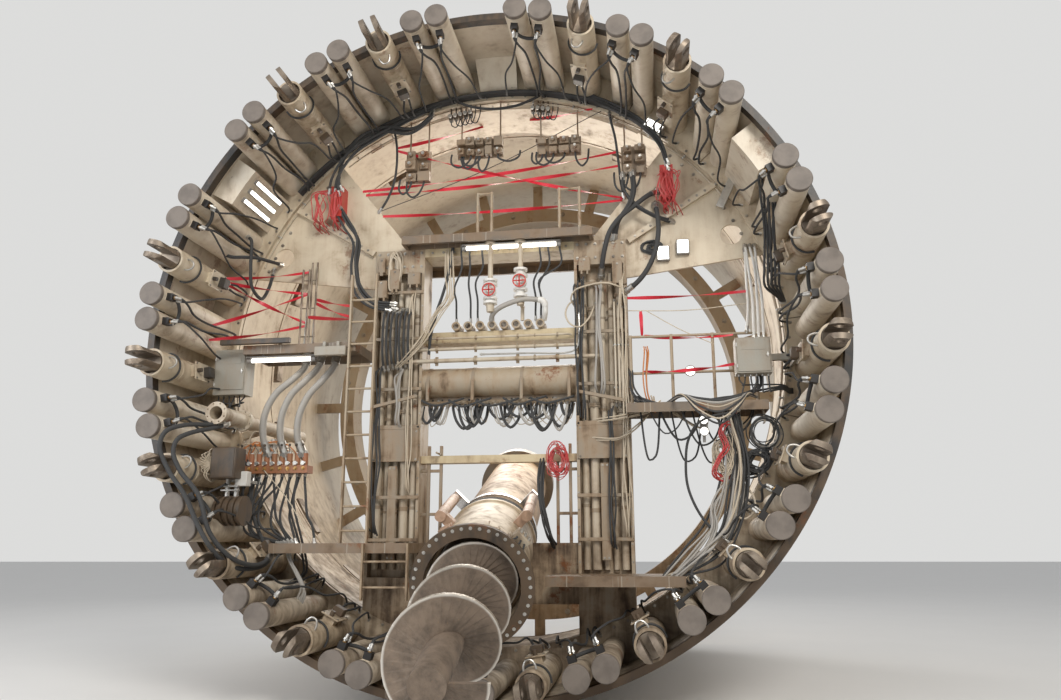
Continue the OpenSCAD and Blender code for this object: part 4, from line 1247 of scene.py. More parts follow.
class SHIELD_OT_loose_hoses(bpy.types.Operator):
    """Hangs the loose hoses between the frame, the ring and the valves"""

    bl_idname = "shield.loose_hoses"
    bl_label = "Loose hoses"

    # radius, finish, points
    HOSES = {
        "hose_left_outer": (0.028, "hose_rubber", [
            (-3.342, 0.14, 3.335), (-3.40, -0.06, 3.29), (-3.56, -0.38, 3.24),
            (-3.68, -0.56, 3.14), (-3.71, -0.60, 2.96), (-3.57, -0.60, 2.68),
            (-3.34, -0.58, 2.38), (-3.17, -0.55, 2.05), (-3.02, -0.50, 1.80),
            (-2.93, -0.30, 1.62), (-2.84, 0.05, 1.54), (-2.74, 0.34, 1.59), (-2.70, 0.46, 1.715)]),
        "hose_left_inner": (0.028, "hose_rubber", [
            (-3.314, 0.20, 3.335), (-3.35, 0.00, 3.26), (-3.50, -0.33, 3.15),
            (-3.57, -0.48, 3.05), (-3.58, -0.52, 2.90), (-3.47, -0.52, 2.68),
            (-3.22, -0.50, 2.39), (-3.07, -0.46, 1.97), (-2.90, -0.34, 1.72),
            (-2.80, -0.05, 1.60), (-2.73, 0.24, 1.60), (-2.69, 0.42, 1.72)]),
        "hose_top": (0.020, "hose_rubber", [
            (-0.68, 1.26, 8.28), (-0.60, 1.18, 8.20), (-0.36, 1.12, 8.07),
            (-0.03, 1.08, 7.99), (0.28, 1.12, 8.04), (0.52, 1.18, 8.16), (0.65, 1.26, 8.28)]),
        "hose_right_slant": (0.034, "hose_rubber", [
            (2.25, 1.34, 6.66), (2.13, 1.22, 6.56), (1.93, 1.14, 6.38), (1.74, 1.11, 6.22),
            (1.59, 1.11, 6.02), (1.52, 1.13, 5.81), (1.47, 1.22, 5.60), (1.445, 1.36, 5.46)]),
        "hose_right_upright": (0.034, "hose_rubber", [
            (2.22, 1.34, 6.46), (2.24, 1.20, 6.30), (2.25, 1.11, 6.00), (2.20, 1.09, 5.70),
            (2.08, 1.11, 5.44), (1.94, 1.16, 5.28), (1.78, 1.28, 5.20)]),
        "hose_hung_left": (0.018, "hose_rubber", [
            (-1.60, 1.29, 7.90), (-1.575, 1.255, 7.80), (-1.54, 1.245, 7.60),
            (-1.53, 1.245, 7.30), (-1.57, 1.26, 7.00), (-1.68, 1.29, 6.75), (-1.80, 1.338, 6.605)]),
        "hose_hung_right": (0.018, "hose_rubber", [
            (1.62, 1.29, 7.89), (1.64, 1.26, 7.75), (1.69, 1.255, 7.50),
            (1.715, 1.262, 7.27), (1.735, 1.275, 7.06), (1.75, 1.30, 6.85), (1.79, 1.338, 6.60)]),
        "hose_rail": (0.018, "white_paint", [
            (3.40, 1.338, 5.74), (3.395, 1.26, 5.58), (3.385, 1.205, 5.24),
            (3.385, 1.19, 4.90), (3.365, 1.195, 4.68), (3.35, 1.215, 4.55)]),
        "loop_upper": (0.012, "cream_cable", [
            (1.075, 1.285, 5.02), (1.03, 1.20, 5.09), (1.09, 1.12, 5.19), (1.28, 1.10, 5.25),
            (1.50, 1.12, 5.28), (1.67, 1.16, 5.24), (1.785, 1.28, 5.18)]),
        "loop_lower": (0.012, "cream_cable", [
            (1.075, 1.285, 5.10), (1.00, 1.20, 5.02), (0.96, 1.12, 4.86), (1.02, 1.10, 4.72),
            (1.15, 1.10, 4.67), (1.27, 1.14, 4.79), (1.33, 1.23, 4.95), (1.354, 1.335, 5.06)]),
        "hose_right_ring": (0.016, "hose_rubber", [
            (3.13, 0.715, 3.43), (3.09, 0.68, 3.40), (2.98, 0.66, 3.38), (2.80, 0.65, 3.35),
            (2.62, 0.65, 3.26), (2.50, 0.66, 3.06), (2.46, 0.66, 2.80), (2.47, 0.65, 2.50),
            (2.58, 0.63, 2.20), (2.74, 0.61, 1.98), (2.91, 0.61, 1.84)]),
        "hose_bank_a": (0.045, "grey_hose", [
            (-2.62, 1.00, 4.412), (-2.63, 0.92, 4.20), (-2.74, 0.78, 4.00), (-2.92, 0.70, 3.80),
            (-3.04, 0.67, 3.52), (-3.06, 0.71, 3.22), (-3.00, 0.785, 2.99)]),
        "hose_bank_b": (0.045, "grey_hose", [
            (-2.42, 1.00, 4.412), (-2.43, 0.92, 4.20), (-2.54, 0.78, 3.99), (-2.70, 0.70, 3.78),
            (-2.80, 0.67, 3.50), (-2.82, 0.71, 3.22), (-2.77, 0.785, 2.99)]),
        "hose_bank_c": (0.045, "grey_hose", [
            (-2.20, 1.00, 4.412), (-2.21, 0.92, 4.20), (-2.31, 0.78, 3.98), (-2.46, 0.70, 3.76),
            (-2.56, 0.67, 3.48), (-2.58, 0.71, 3.21), (-2.52, 0.785, 2.99)]),
        "hose_under_left": (0.026, "hose_rubber", [
            (-3.20, 0.82, 2.745), (-3.20, 0.77, 2.50), (-3.12, 0.70, 2.22), (-2.99, 0.64, 1.98),
            (-2.85, 0.59, 1.80), (-2.695, 0.56, 1.72)]),
    }

    def execute(self, context):
        for name, (radius, finish_name, points) in self.HOSES.items():
            free_hose(name, radius, points, finish_name)
        lines = [(radius, smooth(points)) for radius, _, points in self.HOSES.values()]
        fittings("loose_hose_ends", lines, "fitting_steel")
        self.arch()
        return {"FINISHED"}

    @staticmethod
    def arch():
        """Thick grey hose over the valve row, with a pale elbow on its far end."""
        bend = smooth([(0.58, 1.158, 5.097), (0.63, 1.165, 5.088), (0.665, 1.175, 5.055),
                       (0.675, 1.19, 5.01)], 0.02)
        drop = smooth([(0.675, 1.19, 5.01), (0.672, 1.22, 4.94), (0.645, 1.33, 4.855)], 0.02)
        elbow = sweep("arch_elbow", [(0.044, bend)], "white_paint", 14)
        sweep("arch_drop", [(0.036, drop)], "white_paint", 14)
        points = [(-0.10, 1.30, 4.865), (-0.07, 1.24, 4.93), (0.02, 1.17, 4.99), (0.18, 1.13, 5.05),
                  (0.39, 1.12, 5.10), (0.60, 1.16, 5.095)]
        free_hose("hose_arch", 0.036, points, "grey_hose")


class SHIELD_OT_finishes(bpy.types.Operator):
    """Gives each CAD node its finish"""

    bl_idname = "shield.finishes"
    bl_label = "Finishes"

    def execute(self, context):
        for name, nodes in NODE_FINISHES.items():
            give(nodes, finished(name))
        return {"FINISHED"}


class SHIELD_OT_jack_fittings(bpy.types.Operator):
    """Fits nuts, plugs and hoses to the jacks' port blocks"""

    bl_idname = "shield.jack_fittings"
    bl_label = "Jack fittings"

    BLOCK_R = 3.90
    BLOCK_X = BLOCK_R * math.sin(PAIR_HALF_ANGLE)
    BLOCK_UP = BLOCK_R * math.cos(PAIR_HALF_ANGLE)
    PORT_Y = CAP_FRONT + 0.175
    NUT_X = JACK_PITCH_R * math.sin(PAIR_HALF_ANGLE)
    NUT_R = 3.942
    NUT_SIZE = 0.022

    def execute(self, context):
        rng = random.Random(19)
        radius = settings().port_hose
        lines = self.straight_hoses(rng, radius) + self.crossing_hoses(rng, radius * 0.85)
        hoses("port_hose_runs", lines, "hose_rubber", ends="fitting_steel")
        self.nuts(radius * 1.1)
        return {"FINISHED"}

    def straight_hoses(self, rng, radius):
        """From each port block back to the ring behind it."""
        lines = []
        for k in range(PAIR_COUNT):
            place = ring_frame(pair_angle(k))
            for way in (-1, 1):
                sway = rng.uniform(-0.03, 0.03)
                dip = rng.uniform(-0.05, 0.02)
                reach = rng.uniform(0.85, 1.02)
                lines.append((radius, [place @ Vector(p) for p in (
                    (way * self.BLOCK_X, self.PORT_Y, self.BLOCK_UP - 0.03),
                    (way * self.BLOCK_X * 0.95, self.PORT_Y + 0.03, self.BLOCK_UP - 0.085),
                    (way * 0.11, self.PORT_Y + 0.16, 3.80),
                    (way * 0.06 + sway, 0.10, 3.87),
                    (way * 0.05 + sway, 0.50, 3.91 + dip * 0.5),
                    (way * 0.04 - sway, reach, 3.84 + dip),
                    (way * 0.05, 1.15, 3.83 + dip),
                    (way * 0.06, RING_FACE + 0.01, 3.93),
                )]))
        return lines

    def crossing_hoses(self, rng, radius):
        """From each port block across the bay beside it."""
        lines = []
        for k in range(PAIR_COUNT):
            place = ring_frame(pair_angle(k))
            for way in (-1, 1):
                reach = way * rng.uniform(0.42, 0.60)
                dip = rng.uniform(0.0, 0.10)
                lines.append((radius, [place @ Vector(p) for p in (
                    (way * self.BLOCK_X * 0.8, self.PORT_Y + 0.045, self.BLOCK_UP - 0.02),
                    (way * self.BLOCK_X * 0.8, self.PORT_Y + 0.08, self.BLOCK_UP - 0.10),
                    (reach * 0.5, rng.uniform(-0.05, 0.2), 3.78 - dip),
                    (reach * 0.8, rng.uniform(0.35, 0.6), 3.80 - dip),
                    (reach * 0.9, 0.95, 3.76 - dip * 0.6),
                    (reach, 1.20, 3.83),
                    (reach, RING_FACE + 0.01, 3.90),
                )]))
        return lines

    def nuts(self, plug_radius):
        """Nuts on the barrels and plugs in the port blocks."""
        spots = []
        plugs = []
        for k in range(PAIR_COUNT):
            place = ring_frame(pair_angle(k))
            turn = place.to_3x3()
            for way in (-1, 1):
                spot = place @ Vector((way * self.NUT_X, self.PORT_Y + 0.055, self.NUT_R))
                spots.append((spot, turn @ -AHEAD, turn @ UP, self.NUT_SIZE))
                plug = place @ Vector((way * self.BLOCK_X, self.PORT_Y, self.BLOCK_UP))
                plugs.append((plug, turn @ -UP, turn @ ACROSS, plug_radius))
        scatter("port_nuts", "fitting", spots, "fitting_steel", ferrule_length=1.6)
        scatter("port_plugs", "bolt", plugs, "brass", head_height=1.2)


class SHIELD_OT_ram_fittings(bpy.types.Operator):
    """Fits eyes, hoses and valve plates to the steering rams"""

    bl_idname = "shield.ram_fittings"
    bl_label = "Ram fittings"

    WRAP_RADIUS = 0.013
    WRAP_POINTS = 9
    RETURN_RADIUS = 0.015
    EYE_Y = -0.19
    EYE = ((-0.07, 0.03), (-0.065, -0.03), (-0.03, -0.085), (0.03, -0.085), (0.065, -0.03), (0.07, 0.03))
    PLATE_Y = RAM_MOUTH + 0.64
    # radius of the barrels' lowest line, seen from the bay
    LOW = JACK_PITCH_R - RAM_BARREL_R

    def execute(self, context):
        rng = random.Random(7)
        wraps = []
        returns = []
        eyes = []
        bolts = []
        plates = Shape()
        blocks = Shape()
        for k in RAM_BAYS:
            place = ring_frame(bay_angle(k))
            wraps.append(self.wrap(rng, place))
            eyes.append((self.WRAP_RADIUS, [
                place @ Vector((x, self.EYE_Y, self.LOW + z)) for x, z in self.EYE
            ]))
            self.valve(place, plates, blocks, bolts)
            returns.extend(self.returns(rng, place))
        hoses("ram_wraps", wraps, "hose_rubber", step=0.03)
        hoses("ram_returns", returns, "hose_rubber", ends="fitting_steel")
        hoses("ram_eyes", eyes, "fitting_steel", step=0.02)
        plates.keep("ram_plates", "ring_cream")
        blocks.keep("ram_valves", "box_black")
        scatter("ram_bolts", "bolt", bolts, "bolt_steel")
        return {"FINISHED"}

    def wrap(self, rng, place):
        """Hose laid round a ram's barrel."""
        radius = RAM_BARREL_R + self.WRAP_RADIUS + 0.001
        y = RAM_MOUTH + 0.36 + rng.uniform(-0.05, 0.05)
        points = []
        for i in range(self.WRAP_POINTS):
            angle = math.radians(-190 + 25 * i + rng.uniform(-3, 3))
            points.append(place @ Vector((
                math.cos(angle) * radius,
                y + 0.05 * i / (self.WRAP_POINTS - 1),
                JACK_PITCH_R + math.sin(angle) * radius,
            )))
        return self.WRAP_RADIUS, points

    def valve(self, place, plates, blocks, bolts):
        """Plate with a valve block under a ram's barrel."""
        low = self.LOW
        y = self.PLATE_Y
        plates.brick((-0.12, y - 0.03, low - 0.075), (0.12, y + 0.32, low - 0.057), place)
        plates.brick((-0.045, y + 0.09, low - 0.078), (0.045, y + 0.21, low - 0.076), place, 0)
        blocks.brick((-0.07, y + 0.16, low - 0.17), (0.07, y + 0.29, low - 0.077), place, 0.006)
        blocks.drum((0, y + 0.02, low - 0.075), (0, y + 0.02, low - 0.135), 0.028, place)
        turn = place.to_3x3()
        for x in (-0.1, 0.1):
            for bolt_y in (y, y + 0.29):
                spot = place @ Vector((x, bolt_y, low - 0.075))
                bolts.append((spot, turn @ -UP, turn @ ACROSS, 0.011))

    def returns(self, rng, place):
        """Two hoses from the valve block to the ring."""
        low = self.LOW
        y = self.PLATE_Y
        sway = rng.uniform(-0.05, 0.05)
        return [(self.RETURN_RADIUS, [place @ Vector(p) for p in (
            (x, y + 0.29, low - 0.125),
            (x, y + 0.36, low - 0.13),
            (x * 1.6 + sway, y + 0.50, low - 0.15 - abs(sway)),
            (x * 1.2 + sway, RING_FACE - 0.18, low - 0.16),
            (x, RING_FACE - 0.07, low - 0.10),
            (x, RING_FACE + 0.01, low - 0.06),
        )]) for x in (-0.035, 0.035)]


class SHIELD_OT_ring_lines(bpy.types.Operator):
    """Runs pipes, valve groups and weld beads round the jack ring"""

    bl_idname = "shield.ring_lines"
    bl_label = "Ring lines"

    PIPE_RUN_R = 3.80
    DEGREES_A_STEP = 1.5
    VALVE_STEP = 0.075
    BEAD_RADIUS = 0.007
    BEAD_WAVE = 0.002
    # y, pipe radius, low and high angle in degrees
    PIPES = (
        (1.325, 0.013, 34, 84),
        (1.380, 0.011, 51, 88),
        (1.430, 0.012, 58, 128),
        (1.475, 0.010, 62, 122),
        (1.325, 0.012, 138, 158),
        (1.340, 0.014, -14, 19),
        (1.400, 0.011, -18, 16),
    )

    def execute(self, context):
        self.pipes()
        self.valve_groups()
        self.beads()
        return {"FINISHED"}

    def pipes(self):
        """Pipes with clamps round the ring's inner face."""
        lines = []
        clamps = []
        for y, thick, low, high in self.PIPES:
            steps = max(2, int((high - low) / self.DEGREES_A_STEP))
            angles = [math.radians(low + (high - low) * i / steps) for i in range(steps + 1)]
            lines.append((thick, [ring_point(self.PIPE_RUN_R, a, y) for a in angles]))
            for a in angles[2:-1:6]:
                outward = (ring_point(1, a, 0) - ring_point(0, a, 0)).normalized()
                along = ring_frame(a).to_3x3() @ ACROSS
                clamps.append((ring_point(self.PIPE_RUN_R, a, y), -outward, along, thick))
        sweep("ring_pipes", lines, "pipe_cream", 8)
        scatter("ring_clamps", "clamp", clamps, "fitting_steel", foot=5.0)

    def valve_groups(self):
        """Rows of small valves at the top of the ring."""
        bodies = Shape()
        knobs = Shape()
        loops = []
        for first_x, count in ((-0.74, 5), (0.50, 4)):
            for i in range(count):
                x = first_x + i * self.VALVE_STEP
                top = AXIS_Z + math.sqrt(RING_IN_R**2 - x**2)
                low = top - 0.20
                far = AXIS_Z + math.sqrt(RING_IN_R**2 - (x + 0.14) ** 2)
                bodies.brick((x - 0.028, 1.29, low), (x + 0.028, 1.37, low + 0.09))
                bodies.drum((x, 1.33, low + 0.08), (x, 1.33, top + 0.01), 0.012)
                knobs.drum((x, 1.29, low + 0.045), (x, 1.24, low + 0.045), 0.012)
                knobs.drum((x, 1.255, low + 0.045), (x, 1.235, low + 0.045), 0.030)
                loops.append((0.008, [(x, 1.33, low), (x + 0.02, 1.31, low - 0.08),
                                      (x + 0.09, 1.29, low - 0.12), (x + 0.13, 1.31, low - 0.02),
                                      (x + 0.14, 1.35, low + 0.10), (x + 0.14, 1.36, far + 0.004)]))
        bodies.keep("ring_valves", "box_black")
        knobs.keep("ring_knobs", "fitting_steel")
        hoses("ring_valve_loops", loops, "hose_rubber", step=0.03)

    def beads(self):
        """Weld beads along the ring's seams and the skin."""
        rng = random.Random(3)
        lines = []
        for k in range(PAIR_COUNT):
            seam = pair_angle(k)
            lines.append(self.bead(rng, [
                ring_point(RING_IN_R + 0.01 + 0.46 * i / 12, seam, RING_FACE - 0.002)
                for i in range(13)
            ]))
            for y in (RING_FACE + 0.075, RING_BACK - 0.075):
                lines.append(self.bead(rng, [
                    ring_point(RING_IN_R - 0.002, seam + PAIR_STEP * (i / 24), y)
                    for i in range(25)
                ]))
        for y in (0.133, 3.30):
            lines.append(self.bead(rng, [
                ring_point(SKIN_R - 0.064, math.tau * i / 288, y) for i in range(289)
            ]))
        sweep("weld_beads", lines, "weld_bead", 5)

    def bead(self, rng, points):
        """Weld bead along points, a little uneven."""
        wave = self.BEAD_WAVE
        return self.BEAD_RADIUS, [
            p + Vector((0, rng.uniform(-wave, wave), rng.uniform(-wave, wave))) for p in points
        ]


class SHIELD_OT_bolts(bpy.types.Operator):
    """Sets the bolts of the flange, the rings and the inner frame"""

    bl_idname = "shield.bolts"
    bl_label = "Bolts"

    TAIL_BOLTS = 24
    TAIL_BOLT_R = 3.75
    RING_BOLT_R = 3.895
    HAUNCH_BOLT_R = 3.72

    def execute(self, context):
        self.flange_bolts()
        self.ring_bolts()
        self.frame_bolts()
        return {"FINISHED"}

    def flange_bolts(self):
        """Bolts on both sides of the conveyor's flange."""
        aim = -SCREW_DIRECTION
        side = SCREW_TURN @ ACROSS
        spots = []
        for i in range(FLANGE_BOLTS):
            angle = math.tau * i / FLANGE_BOLTS
            arm = Vector((math.cos(angle), math.sin(angle), 0)) * FLANGE_PCD / 2
            spots.append((SCREW_FRAME @ (arm + UP * FLANGE_AT), aim, side, 0.014))
            spots.append((SCREW_FRAME @ (arm + UP * (FLANGE_AT + FLANGE_T)), -aim, side, 0.014))
        scatter("flange_bolts", "bolt", spots, "fitting_steel")

    def ring_bolts(self):
        """Bolts of the tail ring and of the jack ring's face."""
        spots = []
        for i in range(self.TAIL_BOLTS):
            angle = math.tau * (i + 0.5) / self.TAIL_BOLTS
            side = ring_frame(angle).to_3x3() @ UP
            for y, aim in ((TAIL_RING_FACE, AHEAD), (TAIL_RING_FACE + 0.06, -AHEAD)):
                spots.append((ring_point(self.TAIL_BOLT_R, angle, y), aim, side, 0.032))
        for k in range(PAIR_COUNT):
            for turn in (-0.30, -0.15, 0.15, 0.30):
                angle = bay_angle(k) + PAIR_STEP * turn
                side = ring_frame(angle).to_3x3() @ UP
                spots.append((ring_point(self.RING_BOLT_R, angle, RING_FACE), AHEAD, side, 0.014))
        scatter("ring_bolts", "bolt", spots, "bolt_steel")

    def frame_bolts(self):
        """Bolts of the haunches, columns and upper beam."""
        spots = []
        for way in (-1, 1):
            for i in range(9):
                angle = math.radians(21.5 + 3.4 * i)
                point = ring_point(self.HAUNCH_BOLT_R, angle, HAUNCH_FACE)
                point.x *= way
                if not 34.5 < math.degrees(angle) < 39.5:
                    spots.append((point, AHEAD, UP, 0.018))
            for i in range(10):
                t = 0.08 + 0.09 * i
                x = 1.83 + (3.043 - 1.83) * t
                z = 1.535 + (2.293 - 1.535) * t
                spots.append(facing(way * x, COLUMN_FACE, AXIS_Z + z, 0.013))
            for x in (COLUMN_IN_X + 0.02, COLUMN_OUT_X - 0.02):
                for i in range(18):
                    z = 1.6 + 0.22 * i
                    spots.append(facing(way * x, COLUMN_FACE, z, 0.009))
            for i in range(6):
                for z in (COLUMN_TOP - 0.05, COLUMN_TOP - 0.25):
                    spots.append(facing(way * (1.12 + 0.125 * i), COLUMN_FACE, z, 0.016))
        for i in range(13):
            x = -0.96 + 0.16 * i
            spots.append(facing(x, COLUMN_FACE, COLUMN_TOP - 0.06, 0.013))
        scatter("frame_bolts", "bolt", spots, "bolt_steel")


class SHIELD_OT_frame_lines(bpy.types.Operator):
    """Runs the pipes, cables and clamps over the columns and cross beams"""

    bl_idname = "shield.frame_lines"
    bl_label = "Frame lines"

    WEB_FACE = COLUMN_FACE + 0.16
    # x, radius
    UPRIGHTS = ((1.18, 0.045), (1.31, 0.060), (1.44, 0.036), (1.56, 0.036), (1.68, 0.050))
    # finish, radius, count, x, top, foot
    COLUMN_FALLS = (
        ("hose_rubber", 0.012, 4, -1.66, 4.20, 2.0),
        ("cream_cable", 0.009, 3, -1.20, 5.30, 2.5),
        ("grey_hose", 0.014, 3, -1.36, 4.15, 3.4),
        ("hose_rubber", 0.013, 4, 1.16, 5.35, 3.5),
        ("cream_cable", 0.010, 4, 1.74, 5.40, 1.9),
        ("hose_rubber", 0.012, 3, 1.55, 3.55, 1.8),
        ("grey_hose", 0.015, 3, 1.42, 5.30, 3.8),
    )
    # finish, radius, sag, rise
    DECK_RUNS = (
        ("hose_rubber", 0.014, 0.16, 0.03),
        ("grey_hose", 0.016, 0.05, 0.06),
        ("cream_cable", 0.010, 0.24, 0.02),
        ("hose_rubber", 0.018, 0.02, 0.09),
        ("hose_rubber", 0.012, 0.30, 0.05),
        ("cream_cable", 0.008, 0.10, 0.04),
    )
    # low z, high z, near x, far x
    COVERS = ((2.92, 3.36, 1.09, 1.74), (1.62, 2.86, 1.38, 1.50), (3.36, 3.42, 1.07, 1.79))
    # low x, high x, low z, high z
    COLUMN_BOXES = (
        (-1.77, -1.60, 5.24, 5.50),
        (-1.56, -1.42, 5.36, 5.66),
        (-1.30, -1.12, 5.42, 5.60),
        (-1.74, -1.64, 5.62, 5.84),
        (1.14, 1.30, 5.50, 5.70),
        (1.60, 1.74, 5.30, 5.62),
    )
    # of the struts that cross the columns, from near x to far x
    STRUT_NEAR = 1.10
    STRUT_FAR = 1.74
    STRUT_MIDDLE = 1.42
    STRUT_SLOPE = 0.22
    COUPLINGS = 24

    def execute(self, context):
        self.upright_pipes()
        self.level_pipes()
        self.thin_tubes()
        self.cables()
        self.covers()
        self.beam_band()
        self.column_cables()
        return {"FINISHED"}

    def column_cables(self):
        """Cables that hang down the columns and over the right deck."""
        rng = random.Random(71)
        found = {"hose_rubber": [], "grey_hose": [], "cream_cable": []}
        for finish_name, radius, count, x, top, low in self.COLUMN_FALLS:
            for i in range(count):
                place = x + (i - count / 2) * radius * 2.6
                steps = max(3, int((top - low) / 0.42))
                line = [(place, COLUMN_HOLD, top + 0.03 * i)]
                line.extend((place + rng.uniform(-0.03, 0.03), 1.24 - rng.uniform(0, 0.05),
                             top - 0.08 - (top - low - 0.16) * j / steps) for j in range(steps + 1))
                line.append((place, COLUMN_HOLD, low - 0.02 * i))
                found[finish_name].append((radius, line))
        for finish_name, radius, sag, rise in self.DECK_RUNS:
            found[finish_name].append((radius, [
                (1.80, 1.28, 3.66 + rise), (1.92, 1.16, 3.60 + rise), (2.20, 1.02, 3.575),
                (2.45, 0.34 + rise, 3.575), (2.62, 0.25, 3.52 - sag * 0.6),
                (2.86, 0.24, 3.50 - sag), (3.08, 0.26, 3.53 - sag * 0.5), (3.22, 0.36 + rise, 3.575),
                (3.34, 0.60, 3.565)]))
        hoses_by_finish("column_runs_", found)

    def covers(self):
        """Cover plates, brackets and posts on the columns and round the screw."""
        plates = Shape()
        spots = []
        for way in (-1, 1):
            self.side_covers(way, plates, spots)
            self.screw_posts(way, plates)
        for low_x, high_x, low_z, high_z in self.COLUMN_BOXES:
            plates.brick((low_x, 1.215, low_z), (high_x, 1.31, high_z), bevel=0.006)
            for x in (low_x + 0.04, high_x - 0.04):
                plates.drum((x, 1.22, low_z + 0.01), (x, 1.22, low_z - 0.05), 0.016)
            spots.append(facing((low_x + high_x) / 2, 1.215, high_z - 0.04, 0.012))
        plates.keep("column_covers", "column_brown")
        scatter("cover_bolts", "bolt", spots, "bolt_steel")

    def side_covers(self, way, plates, spots):
        """Covers, bands and a slanting strut on one column; way is -1 on the left."""
        for low_z, high_z, near, far in self.COVERS:
            low_x, high_x = sorted((way * near, way * far))
            plates.brick((low_x, 1.262, low_z), (high_x, 1.276, high_z))
            for x in (low_x + 0.03, high_x - 0.03):
                for z in (low_z + 0.03, high_z - 0.03):
                    spots.append(facing(x, 1.262, z, 0.010))
        low_x, high_x = sorted((way * self.STRUT_NEAR, way * self.STRUT_FAR))
        middle = Matrix.Translation((way * self.STRUT_MIDDLE, 0, 3.74))
        slope = Matrix.Rotation(way * self.STRUT_SLOPE, 4, "Y")
        plates.brick((low_x, 1.20, 3.72), (high_x, 1.24, 3.765), middle @ slope @ middle.inverted())
        for x in (1.14, 1.70):
            lift = 3.745 + (self.STRUT_MIDDLE - x) * self.STRUT_SLOPE
            plates.brick((way * x - 0.02, 1.23, lift - 0.02), (way * x + 0.02, 1.29, lift + 0.02))
        low_x, high_x = sorted((way * COLUMN_IN_X, way * COLUMN_OUT_X))
        for z in (1.86, 2.42, 3.90, 4.62, 5.30):
            plates.brick((low_x, 1.258, z), (high_x, 1.288, z + 0.045))

    @staticmethod
    def screw_posts(way, plates):
        """Posts with rails between the screw and one column."""
        for x in (0.80, 0.97):
            plates.brick((way * x - 0.02, 1.40, 1.80), (way * x + 0.02, 1.44, 3.14))
        plates.drum((way * 0.80, 1.41, 3.02), (way * 0.80, 1.15, 3.02), 0.014)
        low_x, high_x = sorted((way * 0.78, way * 1.08))
        for z in (2.20, 2.78):
            plates.brick((low_x, 1.41, z), (high_x, 1.44, z + 0.04))

    def beam_band(self):
        """Couplings and looped hoses under the tie beam."""
        rng = random.Random(61)
        couplings = Shape()
        lines = {"hose_rubber": [], "grey_hose": [], "cream_cable": []}
        couplings.drum((-1.08, 1.47, 3.74), (1.08, 1.47, 3.74), 0.030)
        couplings.brick((-1.08, 1.50, 3.76), (1.08, 1.53, 3.84))
        for i in range(self.COUPLINGS):
            x = -0.96 + 0.083 * i
            couplings.drum((x, 1.47, 3.74), (x, 1.38, 3.70), 0.030, sides=12)
            couplings.drum((x, 1.40, 3.71), (x, 1.37, 3.695), 0.042, sides=6)
            swing = rng.choice((-1, 1)) * rng.uniform(0.04, 0.13)
            fall = rng.uniform(0.18, 0.40)
            key = ("hose_rubber", "hose_rubber", "hose_rubber", "grey_hose")[i % 4]
            lines[key].append((0.019, [
                (x, 1.38, 3.70), (x, 1.33, 3.66), (x + swing * 0.5, 1.30, 3.70 - fall * 0.7),
                (x + swing * 1.3, 1.31, 3.70 - fall), (x + swing * 2.2, 1.36, 3.70 - fall * 0.7),
                (x + swing * 2.4, 1.44, 3.66), (x + swing * 2.4, 1.52, 3.80)]))
            lines["cream_cable"].append((0.006, [
                (x, 1.46, 3.70), (x + swing, 1.40, 3.48 + rng.uniform(-0.06, 0.06)),
                (x + swing * 2, 1.36, 3.44 + rng.uniform(-0.05, 0.08)), (x + swing * 3, 1.47, 3.70)]))
        for x in (-0.98, -0.35, 0.33, 0.98):
            couplings.hoop((x, 1.495, 4.03), (1, 0, 0), 0.212, 0.198, 0.045)
            couplings.brick((x - 0.022, 1.26, 3.74), (x + 0.022, 1.30, 4.03))
        for i in range(5):
            z = 3.80 + rng.uniform(-0.02, 0.02)
            start = -1.06 + 0.38 * i
            lines["hose_rubber"].append((0.016, [
                (start, 1.30, z - 0.05), (start + 0.02, 1.25, z - 0.07),
                (start + 0.20, 1.22, z - 0.14 - 0.02 * (i % 2)), (start + 0.42, 1.23, z - 0.10),
                (start + 0.56, 1.25, z - 0.06), (start + 0.58, 1.30, z - 0.04)]))
        couplings.keep("beam_couplings", "column_brown")
        hoses_by_finish("beam_band_", lines, step=0.045)

    def upright_pipes(self):
        """Pipes inside the columns, with clamps and flanges."""
        rng = random.Random(5)
        lines = []
        clamps = []
        flanges = []
        for way in (-1, 1):
            for x, radius in self.UPRIGHTS:
                y = self.WEB_FACE - radius
                top = 5.40 - rng.uniform(0, 0.5)
                foot = 1.46 + rng.uniform(0, 0.25)
                place = Vector((way * x, y, 0))
                lines.append((radius, [
                    place + Vector((0, 0.03, foot)), place + UP * (foot + 0.12),
                    place + UP * (top - 0.12), place + Vector((0, 0.03, top)),
                ]))
                for z in (2.28, 3.22, 4.86):
                    spot = place + UP * (z + rng.uniform(-0.04, 0.04))
                    clamps.append((spot, AHEAD, UP, radius))
                for z in (3.62, 5.08):
                    spot = place + UP * (z + rng.uniform(-0.1, 0.1))
                    flanges.append((spot, UP, AHEAD, radius))
        sweep("column_pipes", lines, "column_pipe", 12)
        scatter("column_clamps", "clamp", clamps, "column_brown", width=0.9, foot=1.0, band=1.12)
        scatter("column_flanges", "flange", flanges, "column_brown", flange_radius=1.35)

